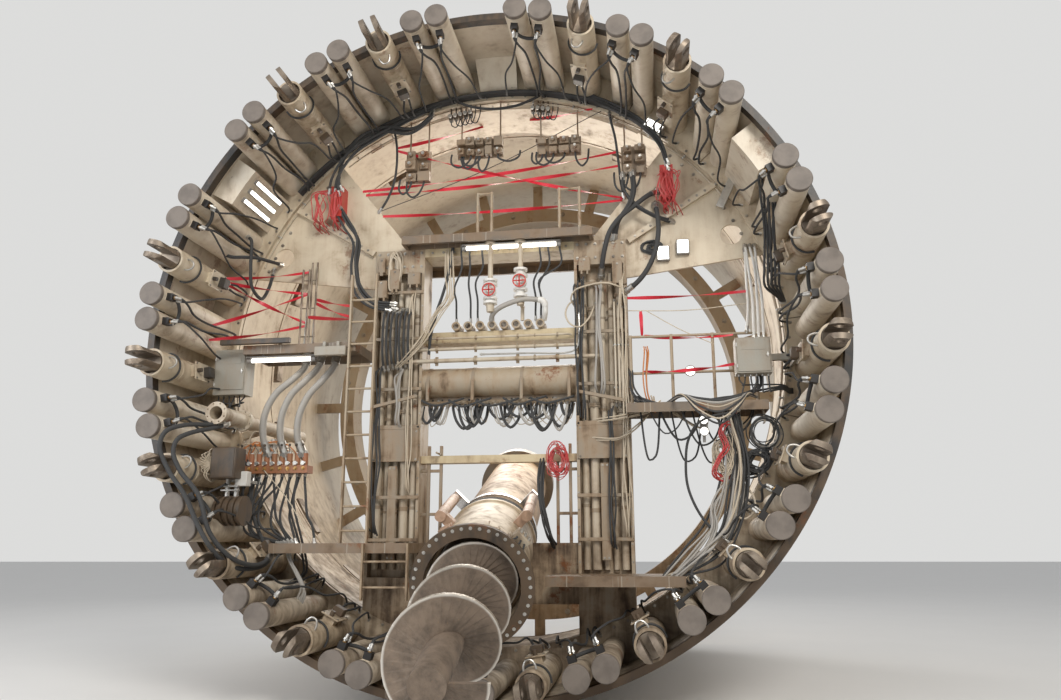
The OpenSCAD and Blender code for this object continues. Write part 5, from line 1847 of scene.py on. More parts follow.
    def level_pipes(self):
        """Pipes along the cross beams."""
        lines = []
        clamps = []
        flanges = []
        for z, radius, reach in ((4.465, 0.022, 1.15), (4.30, 0.028, 1.42), (4.62, 0.016, 1.02)):
            y = COLUMN_FACE - radius - 0.012
            lines.append((radius, [
                Vector((-reach, COLUMN_FACE + 0.02, z)), Vector((-reach + 0.05, y, z)),
                Vector((reach - 0.05, y, z)), Vector((reach, COLUMN_FACE + 0.02, z)),
            ]))
            for x in (-0.86, -0.31, 0.28, 0.83):
                clamps.append((Vector((x, y, z)), AHEAD, ACROSS, radius))
            flanges.append((Vector((0.52, y, z)), ACROSS, UP, radius))
        sweep("beam_pipes", lines, "pipe_cream", 10)
        scatter("beam_clamps", "clamp", clamps, "fittings_tan", foot=1.5)
        scatter("beam_flanges", "flange", flanges, "fittings_tan")

    def thin_tubes(self):
        """Thin tubes and dark hoses on the columns' faces."""
        tubes = []
        clamps = []
        for i, x in enumerate((1.615, 1.665, 1.715, 1.765)):
            tubes.append((0.014, [
                (x, COLUMN_HOLD, 3.62), (x, 1.235, 3.70), (x, 1.23, 4.30), (x, 1.23, 4.99 - 0.05 * i),
                (x, COLUMN_HOLD, 5.08 - 0.05 * i),
            ]))
            for z in (3.86, 4.44):
                clamps.append(facing(x, 1.23, z, 0.014))
        hoses("thin_tubes", tubes, "pipe_cream", ends="fitting_steel")
        scatter("thin_clamps", "clamp", clamps, "fitting_steel", foot=3.4)
        dark = []
        rng = random.Random(23)
        for i in range(7):
            x = -1.62 + 0.062 * i
            bow = rng.uniform(0.02, 0.08)
            dark.append((0.018, [
                (x, COLUMN_HOLD, 5.06 + rng.uniform(-0.04, 0.04)), (x, 1.21, 4.98),
                (x + rng.uniform(-0.02, 0.02), 1.20 - bow, 4.62), (x, 1.21, 4.34),
                (x, COLUMN_HOLD, 4.24 + rng.uniform(-0.04, 0.04)),
            ]))
        hoses("column_hoses", dark, "hose_rubber", ends="fitting_steel")

    def cables(self):
        """Fans and bundles of cables between the frame's parts."""
        rng = random.Random(31)
        fan = bundle(rng, 8, 0.008, 0.05, [
            (-0.71, 1.25, 5.90), (-0.68, 1.18, 5.56), (-0.66, 1.14, 5.16), (-0.81, 1.14, 4.96),
            (-1.03, 1.15, 4.58), (-1.22, 1.18, 4.38), (-1.41, 1.27, 4.25)])
        hoses("cable_fan", fan, "cream_cable")
        dark = bundle(rng, 4, 0.012, 0.04, [
            (-0.62, 1.26, 5.92), (-0.68, 1.18, 5.45), (-0.81, 1.19, 5.02), (-0.90, 1.2, 4.70),
            (-0.94, 1.27, 4.40)])
        hoses("cable_bundle", dark, "hose_rubber")
        right = bundle(rng, 4, 0.010, 0.035, [
            (1.80, 1.27, 4.10), (1.82, 1.18, 4.02), (1.84, 1.12, 3.80), (1.96, 1.09, 3.63),
            (2.35, 1.05, 3.57), (2.99, 0.88, 3.61), (3.21, 0.8, 3.62), (3.40, 0.82, 3.72),
            (3.42, 0.84, 3.90)])
        hoses("deck_cables", right, "hose_rubber")
        orange = bundle(rng, 4, 0.009, 0.03, [
            (2.02, 1.34, 4.40), (2.03, 1.20, 4.28), (2.00, 1.14, 3.95), (2.03, 1.14, 3.67),
            (2.10, 1.22, 3.52)])
        hoses("orange_bundle", orange, "orange_cable")
        pale = []
        for line in (
            [(2.08, 1.24, 3.72), (2.12, 1.18, 3.62), (2.21, 1.14, 3.57), (2.34, 1.1, 3.50),
             (2.61, 1.02, 3.28), (2.72, 1.0, 3.26), (2.80, 1.0, 3.54)],
            [(1.32, 1.29, 3.42), (1.63, 1.16, 3.43), (2.0, 1.12, 3.51), (2.18, 1.22, 3.63)],
            [(1.23, 1.29, 3.20), (1.62, 1.15, 3.17), (1.82, 1.12, 3.29), (1.99, 1.18, 3.46)],
        ):
            pale.extend(bundle(rng, 3, 0.010, 0.03, line))
        hoses("pale_cables", pale, "cream_cable")
        bend = [(-0.23, 1.275, 4.38), (0.4, 1.262, 4.372), (1.03, 1.26, 4.375),
                (1.115, 1.24, 4.45), (1.13, 1.24, 4.92), (1.13, 1.30, 5.02)]
        hoses("bent_pipe", [(0.013, bend)], "fitting_steel", ends="fitting_steel")


class SHIELD_OT_upper_gear(bpy.types.Operator):
    """Hangs valve units, hoses and grease lines in the upper opening"""

    bl_idname = "shield.upper_gear"
    bl_label = "Upper gear"

    # low x, high x, low z, high z, columns, rows
    UNITS = (
        (-1.40, -1.02, 7.00, 7.50, 2, 3),
        (-0.62, 0.06, 7.33, 7.64, 5, 2),
        (0.56, 1.20, 7.28, 7.58, 4, 2),
        (1.77, 2.12, 6.90, 7.36, 2, 3),
    )

    def execute(self, context):
        self.hung_units()
        self.walkway_valves()
        self.hose_runs()
        self.grease_lines()
        return {"FINISHED"}

    def hung_units(self):
        """Plates with valve blocks in the upper opening."""
        plates = Shape()
        blocks = Shape()
        knobs = Shape()
        bolts = []
        loops = []
        rng = random.Random(11)
        for low_x, high_x, low_z, high_z, columns, rows in self.UNITS:
            plates.brick((low_x, 1.30, low_z), (high_x, 1.318, high_z))
            for x in (low_x + 0.05, high_x - 0.05):
                arm = AXIS_Z + math.sqrt(RING_IN_R**2 - x**2) + 0.004
                plates.drum((x, 1.335, low_z + 0.02), (x, 1.335, arm), 0.012, sides=10)
                for z in (low_z + 0.04, high_z - 0.04):
                    bolts.append(facing(x, 1.30, z, 0.012))
            for i in range(columns):
                for j in range(rows):
                    x = low_x + (high_x - low_x) * (i + 0.5) / columns
                    z = low_z + (high_z - low_z) * (j + 0.5) / rows
                    wide = rng.uniform(0.30, 0.48) * (high_x - low_x) / columns
                    tall = rng.uniform(0.26, 0.46) * (high_z - low_z) / rows
                    front = rng.uniform(1.17, 1.25)
                    blocks.brick((x - wide, front, z - tall), (x + wide, 1.302, z + tall))
                    if rng.random() < 0.6:
                        blocks.drum((x, front + 0.002, z), (x, front - 0.05, z), wide * 0.5)
                        knobs.drum((x, front - 0.049, z), (x, front - 0.07, z), wide * 0.3, sides=8)
                    if j == 0:
                        foot = z - tall
                        swing = rng.choice((-1, 1)) * rng.uniform(0.05, 0.11)
                        fall = rng.uniform(0.16, 0.30)
                        loops.append((0.015, [
                            (x, 1.27, foot + 0.01), (x, 1.24, foot - 0.06),
                            (x + swing * 0.7, 1.20, foot - fall * 0.8),
                            (x + swing * 1.6, 1.18, foot - fall),
                            (x + swing * 2.6, 1.20, foot - fall * 0.7),
                            (x + swing * 2.9, 1.25, foot - 0.04), (x + swing * 2.9, 1.30, foot + 0.05),
                        ]))
        plates.keep("unit_plates", "unit_brown")
        blocks.keep("unit_blocks", "unit_brown")
        knobs.keep("unit_knobs", "fitting_steel")
        scatter("unit_bolts", "bolt", bolts, "bolt_steel")
        hoses("unit_loops", loops, "hose_rubber", step=0.035)

    def walkway_valves(self):
        """Two hand valves that hang from the walkway."""
        bodies = Shape()
        wheels = Shape()
        hangers = Shape()
        for x, low, high in ((-0.09, 5.08, 5.40), (0.335, 5.16, 5.54)):
            mid = (low + high) / 2
            bodies.drum((x, 1.17, low), (x, 1.17, high), 0.062)
            for z in (low, mid - 0.10, mid + 0.10, high):
                bodies.drum((x, 1.17, z - 0.016), (x, 1.17, z + 0.016), 0.098)
            bodies.ball((x, 1.17, mid), 0.088)
            bodies.drum((x, 1.17, mid), (x, 1.05, mid), 0.036)
            wheels.hoop((x, 1.045, mid), (0, 1, 0), 0.095, 0.078, 0.016)
            wheels.brick((x - 0.085, 1.04, mid - 0.008), (x + 0.085, 1.05, mid + 0.008), bevel=0)
            wheels.brick((x - 0.008, 1.04, mid - 0.085), (x + 0.008, 1.05, mid + 0.085), bevel=0)
            hangers.drum((x, 1.17, high), (x, 1.17, WALKWAY_UNDER), 0.036)
            hangers.drum((x, 1.17, 5.93), (x, 1.17, 5.962), 0.085)
            hangers.drum((x, 1.17, low - 0.13), (x, 1.17, low), 0.050, end_radius=0.062)
            hangers.drum((x, 1.17, low - 0.10), (x, 1.38, low - 0.10), 0.030)
            hangers.drum((x, 1.35, low - 0.10), (x, 1.35, VALVE_ROW_TOP), 0.026)
        bodies.keep("hung_valves", "white_paint")
        wheels.keep("hung_wheels", "grease_red")
        hangers.keep("hung_pipes", "pipe_cream")

    def hose_runs(self):
        """Bundles and knots of hoses beside the upper opening."""
        rng = random.Random(41)
        left = []
        for count, line in (
            (4, [(-0.99, 1.25, 8.08), (-1.03, 1.16, 7.94), (-1.27, 1.12, 7.75), (-1.69, 1.10, 7.79),
                 (-2.09, 1.10, 7.64), (-2.29, 1.10, 7.35), (-2.35, 1.12, 6.98), (-2.32, 1.16, 6.86)]),
            (3, [(-0.76, 1.27, 8.32), (-0.84, 1.20, 8.24), (-1.17, 1.13, 8.05), (-1.79, 1.08, 7.70),
                 (-2.17, 1.05, 7.43), (-2.40, 1.05, 7.06), (-2.46, 1.14, 6.88)]),
            (4, [(-2.38, 1.16, 6.62), (-2.22, 1.12, 6.36), (-2.07, 1.12, 6.10), (-2.07, 1.10, 5.72),
                 (-1.99, 1.12, 5.34), (-1.79, 1.15, 5.15), (-1.52, 1.27, 5.12)]),
        ):
            left.extend(bundle(rng, count, 0.019, 0.055, line))
        hoses("upper_left_hoses", left, "hose_rubber", ends="fitting_steel")
        right = []
        for count, line in (
            (4, [(1.22, 1.27, 8.26), (1.31, 1.20, 8.12), (1.62, 1.12, 7.90), (2.02, 1.10, 7.62),
                 (2.28, 1.10, 7.28), (2.40, 1.13, 6.92)]),
            (4, [(1.74, 1.22, 6.86), (1.76, 1.18, 6.62), (1.90, 1.14, 6.38), (2.16, 1.16, 6.20),
                 (2.42, 1.33, 6.16)]),
            (3, [(1.92, 1.22, 6.86), (1.93, 1.16, 6.58), (1.86, 1.12, 6.34), (1.70, 1.14, 6.12),
                 (1.62, 1.28, 5.92)]),
        ):
            right.extend(bundle(rng, count, 0.018, 0.05, line))
        hoses("upper_right_hoses", right, "hose_rubber", ends="fitting_steel")
        knot = tangle(8, (2.18, 1.325, 5.82), (0.16, 0.02, 0.09), 5, 0.014)
        hoses("knot_right", knot, "hose_rubber", step=0.035)
        knot = tangle(9, (-1.50, 1.26, 5.66), (0.10, 0.04, 0.30), 5, 0.012)
        hoses("knot_left", knot, "cream_cable", step=0.035)
        middle = []
        for x in (-0.52, -0.40, -0.22, 0.60, 0.72, 0.88):
            end = max(-0.6, min(0.6, x + rng.uniform(-0.25, 0.25)))
            middle.append((0.014, [
                (x, 1.25, WALKWAY_UNDER), (x, 1.20, 5.86), (x + 0.02, 1.16, 5.60),
                (end, 1.15, 5.38 + rng.uniform(-0.1, 0.1)), (end + 0.02, 1.20, 5.14),
                (end, 1.31, 4.95), (end, 1.34, VALVE_ROW_TOP),
            ]))
        hoses("walkway_hoses", middle, "hose_rubber", ends="fitting_steel")

    def grease_lines(self):
        """Thin red lines on the grease distributors."""
        rng = random.Random(13)
        lines = []
        for low, high, unit_low, unit_high in (
            (-2.74, -2.30, -2.46, -2.30), (2.28, 2.56, 2.26, 2.44)):
            for _ in range(16):
                start = rng.uniform(low, high)
                foot = 6.28 + rng.uniform(0, 0.16)
                lines.append((0.007, [
                    (rng.uniform(unit_low, unit_high), 1.13, 6.86 + rng.uniform(-0.10, 0.08)),
                    (start + rng.uniform(-0.04, 0.04), 1.09, 6.84),
                    (start + rng.uniform(-0.08, 0.08), 1.07, 6.62),
                    (start + rng.uniform(-0.08, 0.08), 1.09, 6.44),
                    (start + rng.uniform(-0.06, 0.06), 1.18, foot + 0.04),
                    (start + rng.uniform(-0.06, 0.06), 1.34, foot),
                ]))
        hoses("grease_lines", lines, "red_cable", step=0.04)


class SHIELD_OT_valve_stand(bpy.types.Operator):
    """Fits levers, cables and boxes to the valve stand and the left decks"""

    bl_idname = "shield.valve_stand"
    bl_label = "Valve stand"

    SPOOLS = 9
    FIRST_SPOOL = -3.33
    SPOOL_STEP = 0.107
    DROP_ANGLES = (210.9, 210.9, 215.5, 215.5, 215.5, 229.8, 229.8)
    DROP_END_R = 3.99

    def execute(self, context):
        self.levers()
        self.arcs()
        self.boxes()
        self.posts()
        return {"FINISHED"}

    def levers(self):
        """Rods, knobs and caps of the valve bank, and the hoses below it."""
        rng = random.Random(17)
        rods = Shape()
        knobs = Shape()
        caps = []
        drops = []
        for i in range(self.SPOOLS):
            x = self.FIRST_SPOOL + self.SPOOL_STEP * i
            lean = rng.uniform(-0.03, 0.03)
            rods.drum((x, 0.76, 2.985), (x, 0.76, 3.03), 0.022)
            rods.drum((x, 0.74, 3.02), (x + lean, 0.67, 3.10), 0.007)
            knobs.ball((x + lean, 0.668, 3.105), 0.018)
            rods.drum((x, 0.715, 2.87), (x, 0.675, 2.87), 0.026)
            caps.append(facing(x, 0.70, 2.80, 0.018))
            sway = rng.uniform(-0.10, 0.10)
            drops.append((0.017, [
                (x, 0.80, 2.76), (x, 0.78, 2.68), (x + sway * 0.4, 0.74, 2.48),
                (x + sway, 0.70, 2.22 + rng.uniform(-0.05, 0.05)),
                (x + sway * 1.3 + 0.06, 0.66, 2.02 + rng.uniform(-0.06, 0.06)),
                (max(x + sway + 0.16, 0.03 * i - 2.67), 0.60, 1.838),
            ]))
        rods.keep("lever_rods", "fitting_steel")
        knobs.keep("lever_knobs", "box_black")
        scatter("spool_caps", "bolt", caps, "brass", head_height=1.0)
        for i, degrees in enumerate(self.DROP_ANGLES):
            x = -3.28 + 0.12 * i
            end = ring_point(self.DROP_END_R, math.radians(degrees), 0.30 + 0.09 * i)
            drops.append((0.015, [
                (x, 0.84, LEFT_DECK_UNDER), (x - 0.02, 0.80, 2.62), (x * 0.6 + end.x * 0.4, 0.68, 2.38),
                (end.x + 0.16, end.y + 0.02, end.z + 0.12), (end.x + 0.05, end.y, end.z + 0.04), end]))
        hoses("bank_drops", drops, "hose_rubber", ends="fitting_steel")

    def arcs(self):
        """Cables that arch over the valve bank."""
        rng = random.Random(29)
        orange = []
        cream = []
        for i in range(9):
            start = -3.48 + 0.048 * i
            reach = rng.uniform(0.25, 0.55)
            peak = 3.04 + rng.uniform(0.0, 0.26)
            line = [
                (start, 0.78, 2.93), (start + 0.02, 0.75, 3.01), (start + reach * 0.35, 0.73, peak),
                (start + reach * 0.7, 0.74, peak - 0.02), (start + reach, 0.77, 3.02),
                (start + reach + 0.02, 0.79, 2.94),
            ]
            (orange if i % 3 else cream).append((0.009, line))
        hoses("arc_orange", orange, "orange_cable", step=0.04)
        hoses("arc_cream", cream, "cream_cable", step=0.04)
        loops = tangle(12, (-3.40, 0.76, 2.86), (0.17, 0.03, 0.10), 4, 0.010)
        hoses("arc_tangle", loops, "hose_rubber", step=0.04)

    def boxes(self):
        """Boxes, ribbed drum and brackets on the left deck's edge."""
        dark = Shape()
        pale = Shape()
        bright = Shape()
        dark.brick((-3.42, 0.06, 2.63), (-3.09, 0.34, 3.02), bevel=0.012)
        dark.brick((-3.40, 0.052, 2.65), (-3.11, 0.062, 3.00), bevel=0.002)
        pale.brick((-3.17, 0.24, 2.545), (-3.01, 0.36, 2.73), bevel=0.008)
        for i in range(9):
            x = -3.33 + 0.040 * i
            radius = 0.165 if i % 2 else 0.185
            dark.drum((x, 0.20, 2.235), (x + 0.030, 0.20, 2.235), radius, sides=28)
        for z in (2.48, 2.53):
            bright.brick((-3.31, 0.16, z), (-3.08, 0.22, z + 0.02))
        bright.brick((-3.27, 0.34, 2.60), (-3.23, 0.86, 2.64))
        bright.brick((-3.27, 0.20, 2.40), (-3.23, 0.26, 2.64))
        bright.brick((-3.15, 0.20, 2.36), (-3.11, 0.26, 2.56))
        bright.brick((-3.15, 0.34, 2.60), (-3.11, 0.86, 2.64))
        for x in (-3.27, -3.15):
            bright.brick((x, 0.80, 2.60), (x + 0.04, 0.86, LEFT_DECK_UNDER))
        pale.drum((-2.95, 0.80, 2.98), (-2.95, 0.80, 3.20), 0.034)
        pale.drum((-2.95, 0.80, 3.05), (-3.03, 0.80, 3.17), 0.026)
        pale.drum((-2.95, 0.80, 3.05), (-2.87, 0.80, 3.17), 0.026)
        pale.drum((-2.95, 0.80, 2.97), (-2.95, 0.80, 3.01), 0.052, sides=6)
        dark.keep("deck_box", "box_black")
        pale.keep("deck_parts", "white_paint")
        bright.keep("deck_brackets", "fitting_steel")
        rng = random.Random(37)
        rays = []
        for i in range(12):
            angle = math.radians(100 + 14 * i)
            reach = rng.uniform(0.10, 0.17)
            rays.append((0.007, [
                (-3.36, 0.20, 2.82), (-3.42, 0.16, 2.82),
                (-3.44 + math.cos(angle) * reach * 0.6, 0.10, 2.82 + math.sin(angle) * reach * 0.6),
                (-3.43 + math.cos(angle) * reach, 0.08, 2.82 + math.sin(angle) * reach * 1.1),
                (-3.40 + math.cos(angle) * reach * 0.8, 0.14, 2.80 + math.sin(angle) * reach * 1.5),
                (-3.36, 0.24, 2.80 + math.sin(angle) * 0.12),
            ]))
        hoses("box_cables", rays, "cream_cable", step=0.04)

    def posts(self):
        """Posts that carry the tapes, and what the tube lamp hangs on."""
        frame_bars = Shape()
        case = Shape()
        for x, top in ((-2.875, 5.73), (-2.78, 5.73), (-2.74, 5.83), (-2.665, 5.83)):
            frame_bars.drum((x, 1.24, 4.425), (x, 1.24, top), 0.014, sides=10)
            frame_bars.brick((x - 0.035, 1.205, 4.425), (x + 0.035, 1.275, 4.437), bevel=0)
        for z in (4.72, 5.14, 5.56):
            frame_bars.drum((-2.89, 1.24, z), (-2.65, 1.24, z), 0.009, sides=8)
        case.brick((-3.62, 0.40, 4.43), (-2.64, 0.46, 4.50))
        frame_bars.keep("deck_posts", "oiled_steel")
        case.keep("deck_bar", "box_black")
        lamp_box = Shape()
        lamp_box.brick((-2.30, 0.43, 4.245), (-1.87, 0.50, 4.37), bevel=0.008)
        lamp_box.brick((-2.20, 0.46, 4.36), (-2.16, 0.50, 4.44))
        lamp_box.brick((-2.01, 0.46, 4.36), (-1.97, 0.50, 4.44))
        lamp_box.keep("deck_case", "cabinet_grey")


class SHIELD_OT_right_gear(bpy.types.Operator):
    """Hangs coils, boxes and cables round the right decks and rails"""

    bl_idname = "shield.right_gear"
    bl_label = "Right gear"

    LOWER_DECK_END = 2.34
    # start, end, radius of the rods that the coils and tangles hang on
    HOOKS = (
        ((3.44, 0.80, RIGHT_DECK_UNDER), (3.44, 0.80, 3.27), 0.010),
        ((3.44, 0.86, 3.28), (3.44, 0.72, 3.28), 0.012),
        ((3.17, 0.84, 2.90), (3.36, 0.84, 2.90), 0.010),
        ((3.36, 0.87, 2.90), (3.36, 0.72, 2.90), 0.012),
        ((3.05, 0.82, 3.00), (2.91, 0.82, 3.00), 0.010),
        ((2.91, 0.84, 3.00), (2.91, 0.70, 3.00), 0.012),
    )
    COIL_CENTRE = (3.44, 0.80, 3.15)
    FALL_FINISHES = ("hose_rubber", "hose_rubber", "grey_hose", "cream_cable")
    FALL_LINE = (
        (3.02, 0.84, 3.44), (3.00, 0.76, 3.30), (3.04, 0.74, 2.86), (2.98, 0.72, 2.40),
        (2.82, 0.66, 1.96), (2.56, 0.60, 1.66), (2.30, 0.56, 1.45),
    )

    def execute(self, context):
        rng = random.Random(47)
        self.coils(rng)
        self.tangles(rng)
        self.lower_bundles(rng)
        self.falls(rng)
        self.swags(rng)
        self.cradle_drop(rng)
        self.post()
        self.rail_pipes()
        self.rail_hoses()
        return {"FINISHED"}

    def coils(self, rng):
        """Coils of hose on the hook under the outer deck."""
        strands = {"hose_rubber": [], "grey_hose": []}
        for i in range(11):
            radius = rng.uniform(0.13, 0.20)
            off = Vector([rng.uniform(-0.03, 0.03) for _ in range(3)])
            centre = Vector(self.COIL_CENTRE)
            strands["grey_hose" if i % 3 == 0 else "hose_rubber"].append((0.008, [
                centre + Vector((math.cos(a) * radius, 0.02 * math.sin(3 * a + i),
                                 math.sin(a) * radius * 1.1)) + off
                for a in (math.tau * j / 12 + i for j in range(13))
            ]))
        hoses_by_finish("right_coil_", strands, step=0.04)

    def tangles(self, rng):
        """Tangled cables round the terminal box and beside the screw."""
        hoses("right_tangle", tangle(21, (3.33, 0.80, 2.80), (0.19, 0.06, 0.17), 12, 0.009),
              "hose_rubber", step=0.04)
        hoses("right_tangle_pale", tangle(22, (2.92, 0.76, 2.86), (0.13, 0.05, 0.24), 10, 0.007),
              "cream_cable", step=0.04)
        loop = [(3.14, 0.85, 2.57), (3.16, 0.78, 2.50), (3.24, 0.68, 2.38), (3.25, 0.65, 2.22),
                (3.13, 0.66, 2.11), (3.00, 0.70, 2.17), (2.98, 0.77, 2.34), (3.03, 0.83, 2.48),
                (3.08, 0.85, 2.57)]
        hoses("right_loop", [(0.014, loop)], "cream_cable", ends="fitting_steel")
        red = bundle(rng, 6, 0.008, 0.03, [
            (3.07, 0.81, 3.26), (2.97, 0.73, 3.27), (2.90, 0.68, 3.16), (2.96, 0.66, 3.00),
            (2.87, 0.66, 2.84), (2.80, 0.67, 2.68), (2.88, 0.74, 2.60), (3.05, 0.82, 2.64)])
        hoses("red_bunch", red, "red_cable", step=0.04)
        middle = tangle(24, (0.82, 1.22, 2.90), (0.15, 0.05, 0.24), 12, 0.005)
        hoses("red_tangle", middle, "red_cable", step=0.04)

    def lower_bundles(self, rng):
        """Bundles that run down to the lower decks on both sides."""
        under = []
        for line in (
            [(3.05, 0.84, 2.57), (2.88, 0.74, 2.44), (2.74, 0.65, 2.20), (2.74, 0.6, 1.98),
             (2.56, 0.5, 1.70), (2.28, 0.46, 1.43)],
            [(3.12, 0.84, 2.57), (3.06, 0.74, 2.30), (2.92, 0.62, 1.96), (2.62, 0.5, 1.70),
             (2.26, 0.46, 1.43)],
            [(-2.49, 0.50, 1.83), (-2.50, 0.47, 1.66), (-2.36, 0.45, 1.44), (-2.27, 0.45, 1.26),
             (-2.32, 0.46, 1.13)],
        ):
            under.extend(bundle(rng, 4, 0.014, 0.05, line))
        hoses("lower_bundles", under, "grey_hose")

    def falls(self, rng):
        """Hoses that fall from the right deck to the lower one."""
        falls = {"hose_rubber": [], "grey_hose": [], "cream_cable": []}
        for i in range(16):
            shift = Vector((rng.uniform(-0.16, 0.20), rng.uniform(-0.05, 0.05), rng.uniform(-0.1, 0.1)))
            line = [Vector(p) + shift * (0.5 + 0.15 * j) + Vector((rng.uniform(-0.03, 0.03), 0, 0))
                    for j, p in enumerate(self.FALL_LINE)]
            line[0].z = RIGHT_DECK_UNDER
            line[-1] = Vector((min(line[-1].x, self.LOWER_DECK_END), line[-1].y, LOWER_DECK_TOP))
            falls[self.FALL_FINISHES[i % 4]].append((rng.uniform(0.008, 0.016), line))
        hoses_by_finish("right_falls_", falls)

    def swags(self, rng):
        """Hoses that hang in loops under the right deck."""
        swags = []
        for i in range(9):
            start = 1.92 + 0.13 * i
            end = start + rng.uniform(0.25, 0.55)
            low = 3.36 - rng.uniform(0.12, 0.62)
            deep = rng.uniform(0.80, 1.10)
            swags.append((rng.uniform(0.009, 0.016), [
                (start, deep, RIGHT_DECK_UNDER), (start + 0.01, deep - 0.03, 3.44),
                (start * 0.6 + end * 0.4, deep - 0.08, low),
                (start * 0.3 + end * 0.7, deep - 0.06, low + 0.05),
                (end - 0.01, deep - 0.02, 3.43), (end, deep, RIGHT_DECK_UNDER)]))
        hoses("deck_swags", swags, "hose_rubber")

    def cradle_drop(self, rng):
        """Hoses from the post beside the screw down to its cradle."""
        drop = bundle(rng, 5, 0.013, 0.04, [
            (0.60, 1.38, 2.93), (0.59, 1.24, 2.66), (0.61, 1.12, 2.38), (0.67, 1.04, 2.10),
            (0.72, 1.12, 1.92), (0.74, 1.40, 1.80)])
        hoses("cradle_drop", drop, "hose_rubber")

    def post(self):
        """Terminal box under the right deck and the hooks beside it."""
        box = Shape()
        box.brick((3.04, 0.80, 2.56), (3.18, 0.90, 3.31), bevel=0.006)
        for z in (2.62, 2.86, 3.10):
            box.brick((3.05, 0.775, z), (3.17, 0.805, z + 0.15), bevel=0.006)
            box.drum((3.08, 0.78, z + 0.05), (3.08, 0.755, z + 0.05), 0.014, sides=10)
            box.drum((3.14, 0.78, z + 0.10), (3.14, 0.755, z + 0.10), 0.014, sides=10)
        for x in (3.07, 3.15):
            box.brick((x - 0.015, 0.83, 3.30), (x + 0.015, 0.86, RIGHT_DECK_UNDER))
        for start, end, radius in self.HOOKS:
            box.drum(start, end, radius, sides=10)
        box.keep("deck_terminal", "cabinet_grey")

    def rail_pipes(self):
        """Slanting bracket on the right haunch and the pale pipes under it."""
        bright = Shape()
        place = Matrix.Translation((3.28, 1.252, 6.72)) @ Matrix.Rotation(math.radians(25.5), 4, "Y")
        bright.brick((-0.055, -0.018, -0.43), (0.055, -0.008, 0.43), place)
        bright.brick((-0.055, -0.008, -0.43), (-0.045, 0.05, 0.43), place, 0)
        bright.brick((0.045, -0.008, -0.43), (0.055, 0.05, 0.43), place, 0)
        for z in (-0.3, -0.1, 0.1, 0.3):
            bright.drum((0, -0.018, z), (0, -0.03, z), 0.016, place, sides=6)
        bright.keep("slant_bracket", "fitting_steel")
        pale = []
        for x, bow in ((3.41, 0.0), (3.47, 0.02), (3.53, -0.01)):
            pale.append((0.018, [(x, HAUNCH_HOLD, 5.79), (x, 1.25, 5.68), (x + bow, 1.12, 5.40),
                                 (x + 0.01, 1.00, 4.95), (x - 0.01, 0.90, 4.55),
                                 (x - 0.02, 0.86, 4.335)]))
        hoses("rail_pipes", pale, "white_paint", ends="fitting_steel")

    def rail_hoses(self):
        """Dark hoses along the ring's right and left sides."""
        rng = random.Random(53)
        dark = []
        for i in range(5):
            x = 3.52 + 0.045 * i
            dark.append((0.016, [
                (x, 0.66, 6.86 - 0.03 * i), (x + 0.02, 0.60, 6.70), (x + rng.uniform(0, 0.05), 0.56, 6.2),
                (x + rng.uniform(-0.03, 0.06), 0.56, 5.7), (x + 0.02, 0.60, 5.2),
                (x + 0.03, 0.74, 5.03), (3.74 + 0.02 * i, 1.05, 4.96), (3.83 + 0.012 * i, 1.29, 4.95),
            ]))
        hoses("rail_hoses", dark, "hose_rubber", ends="fitting_steel")
        left = []
        for line in (
            [(-3.58, 0.86, 6.13), (-3.46, 0.74, 6.02), (-3.42, 0.70, 5.62), (-3.41, 0.76, 5.34),
             (-3.38, 1.0, 5.24), (-3.38, 1.2, 5.45), (-3.38, HAUNCH_HOLD, 5.78)],
            [(-3.96, 0.76, 6.04), (-3.94, 0.69, 5.94), (-3.84, 0.66, 5.84), (-3.71, 0.66, 5.77),
             (-3.53, 0.70, 5.77), (-3.39, 0.82, 5.79), (-3.30, 1.0, 5.80), (-3.27, HAUNCH_HOLD, 5.86)],
        ):
            left.append((0.024, line))
        hoses("left_high_hoses", left, "hose_rubber", ends="fitting_steel")


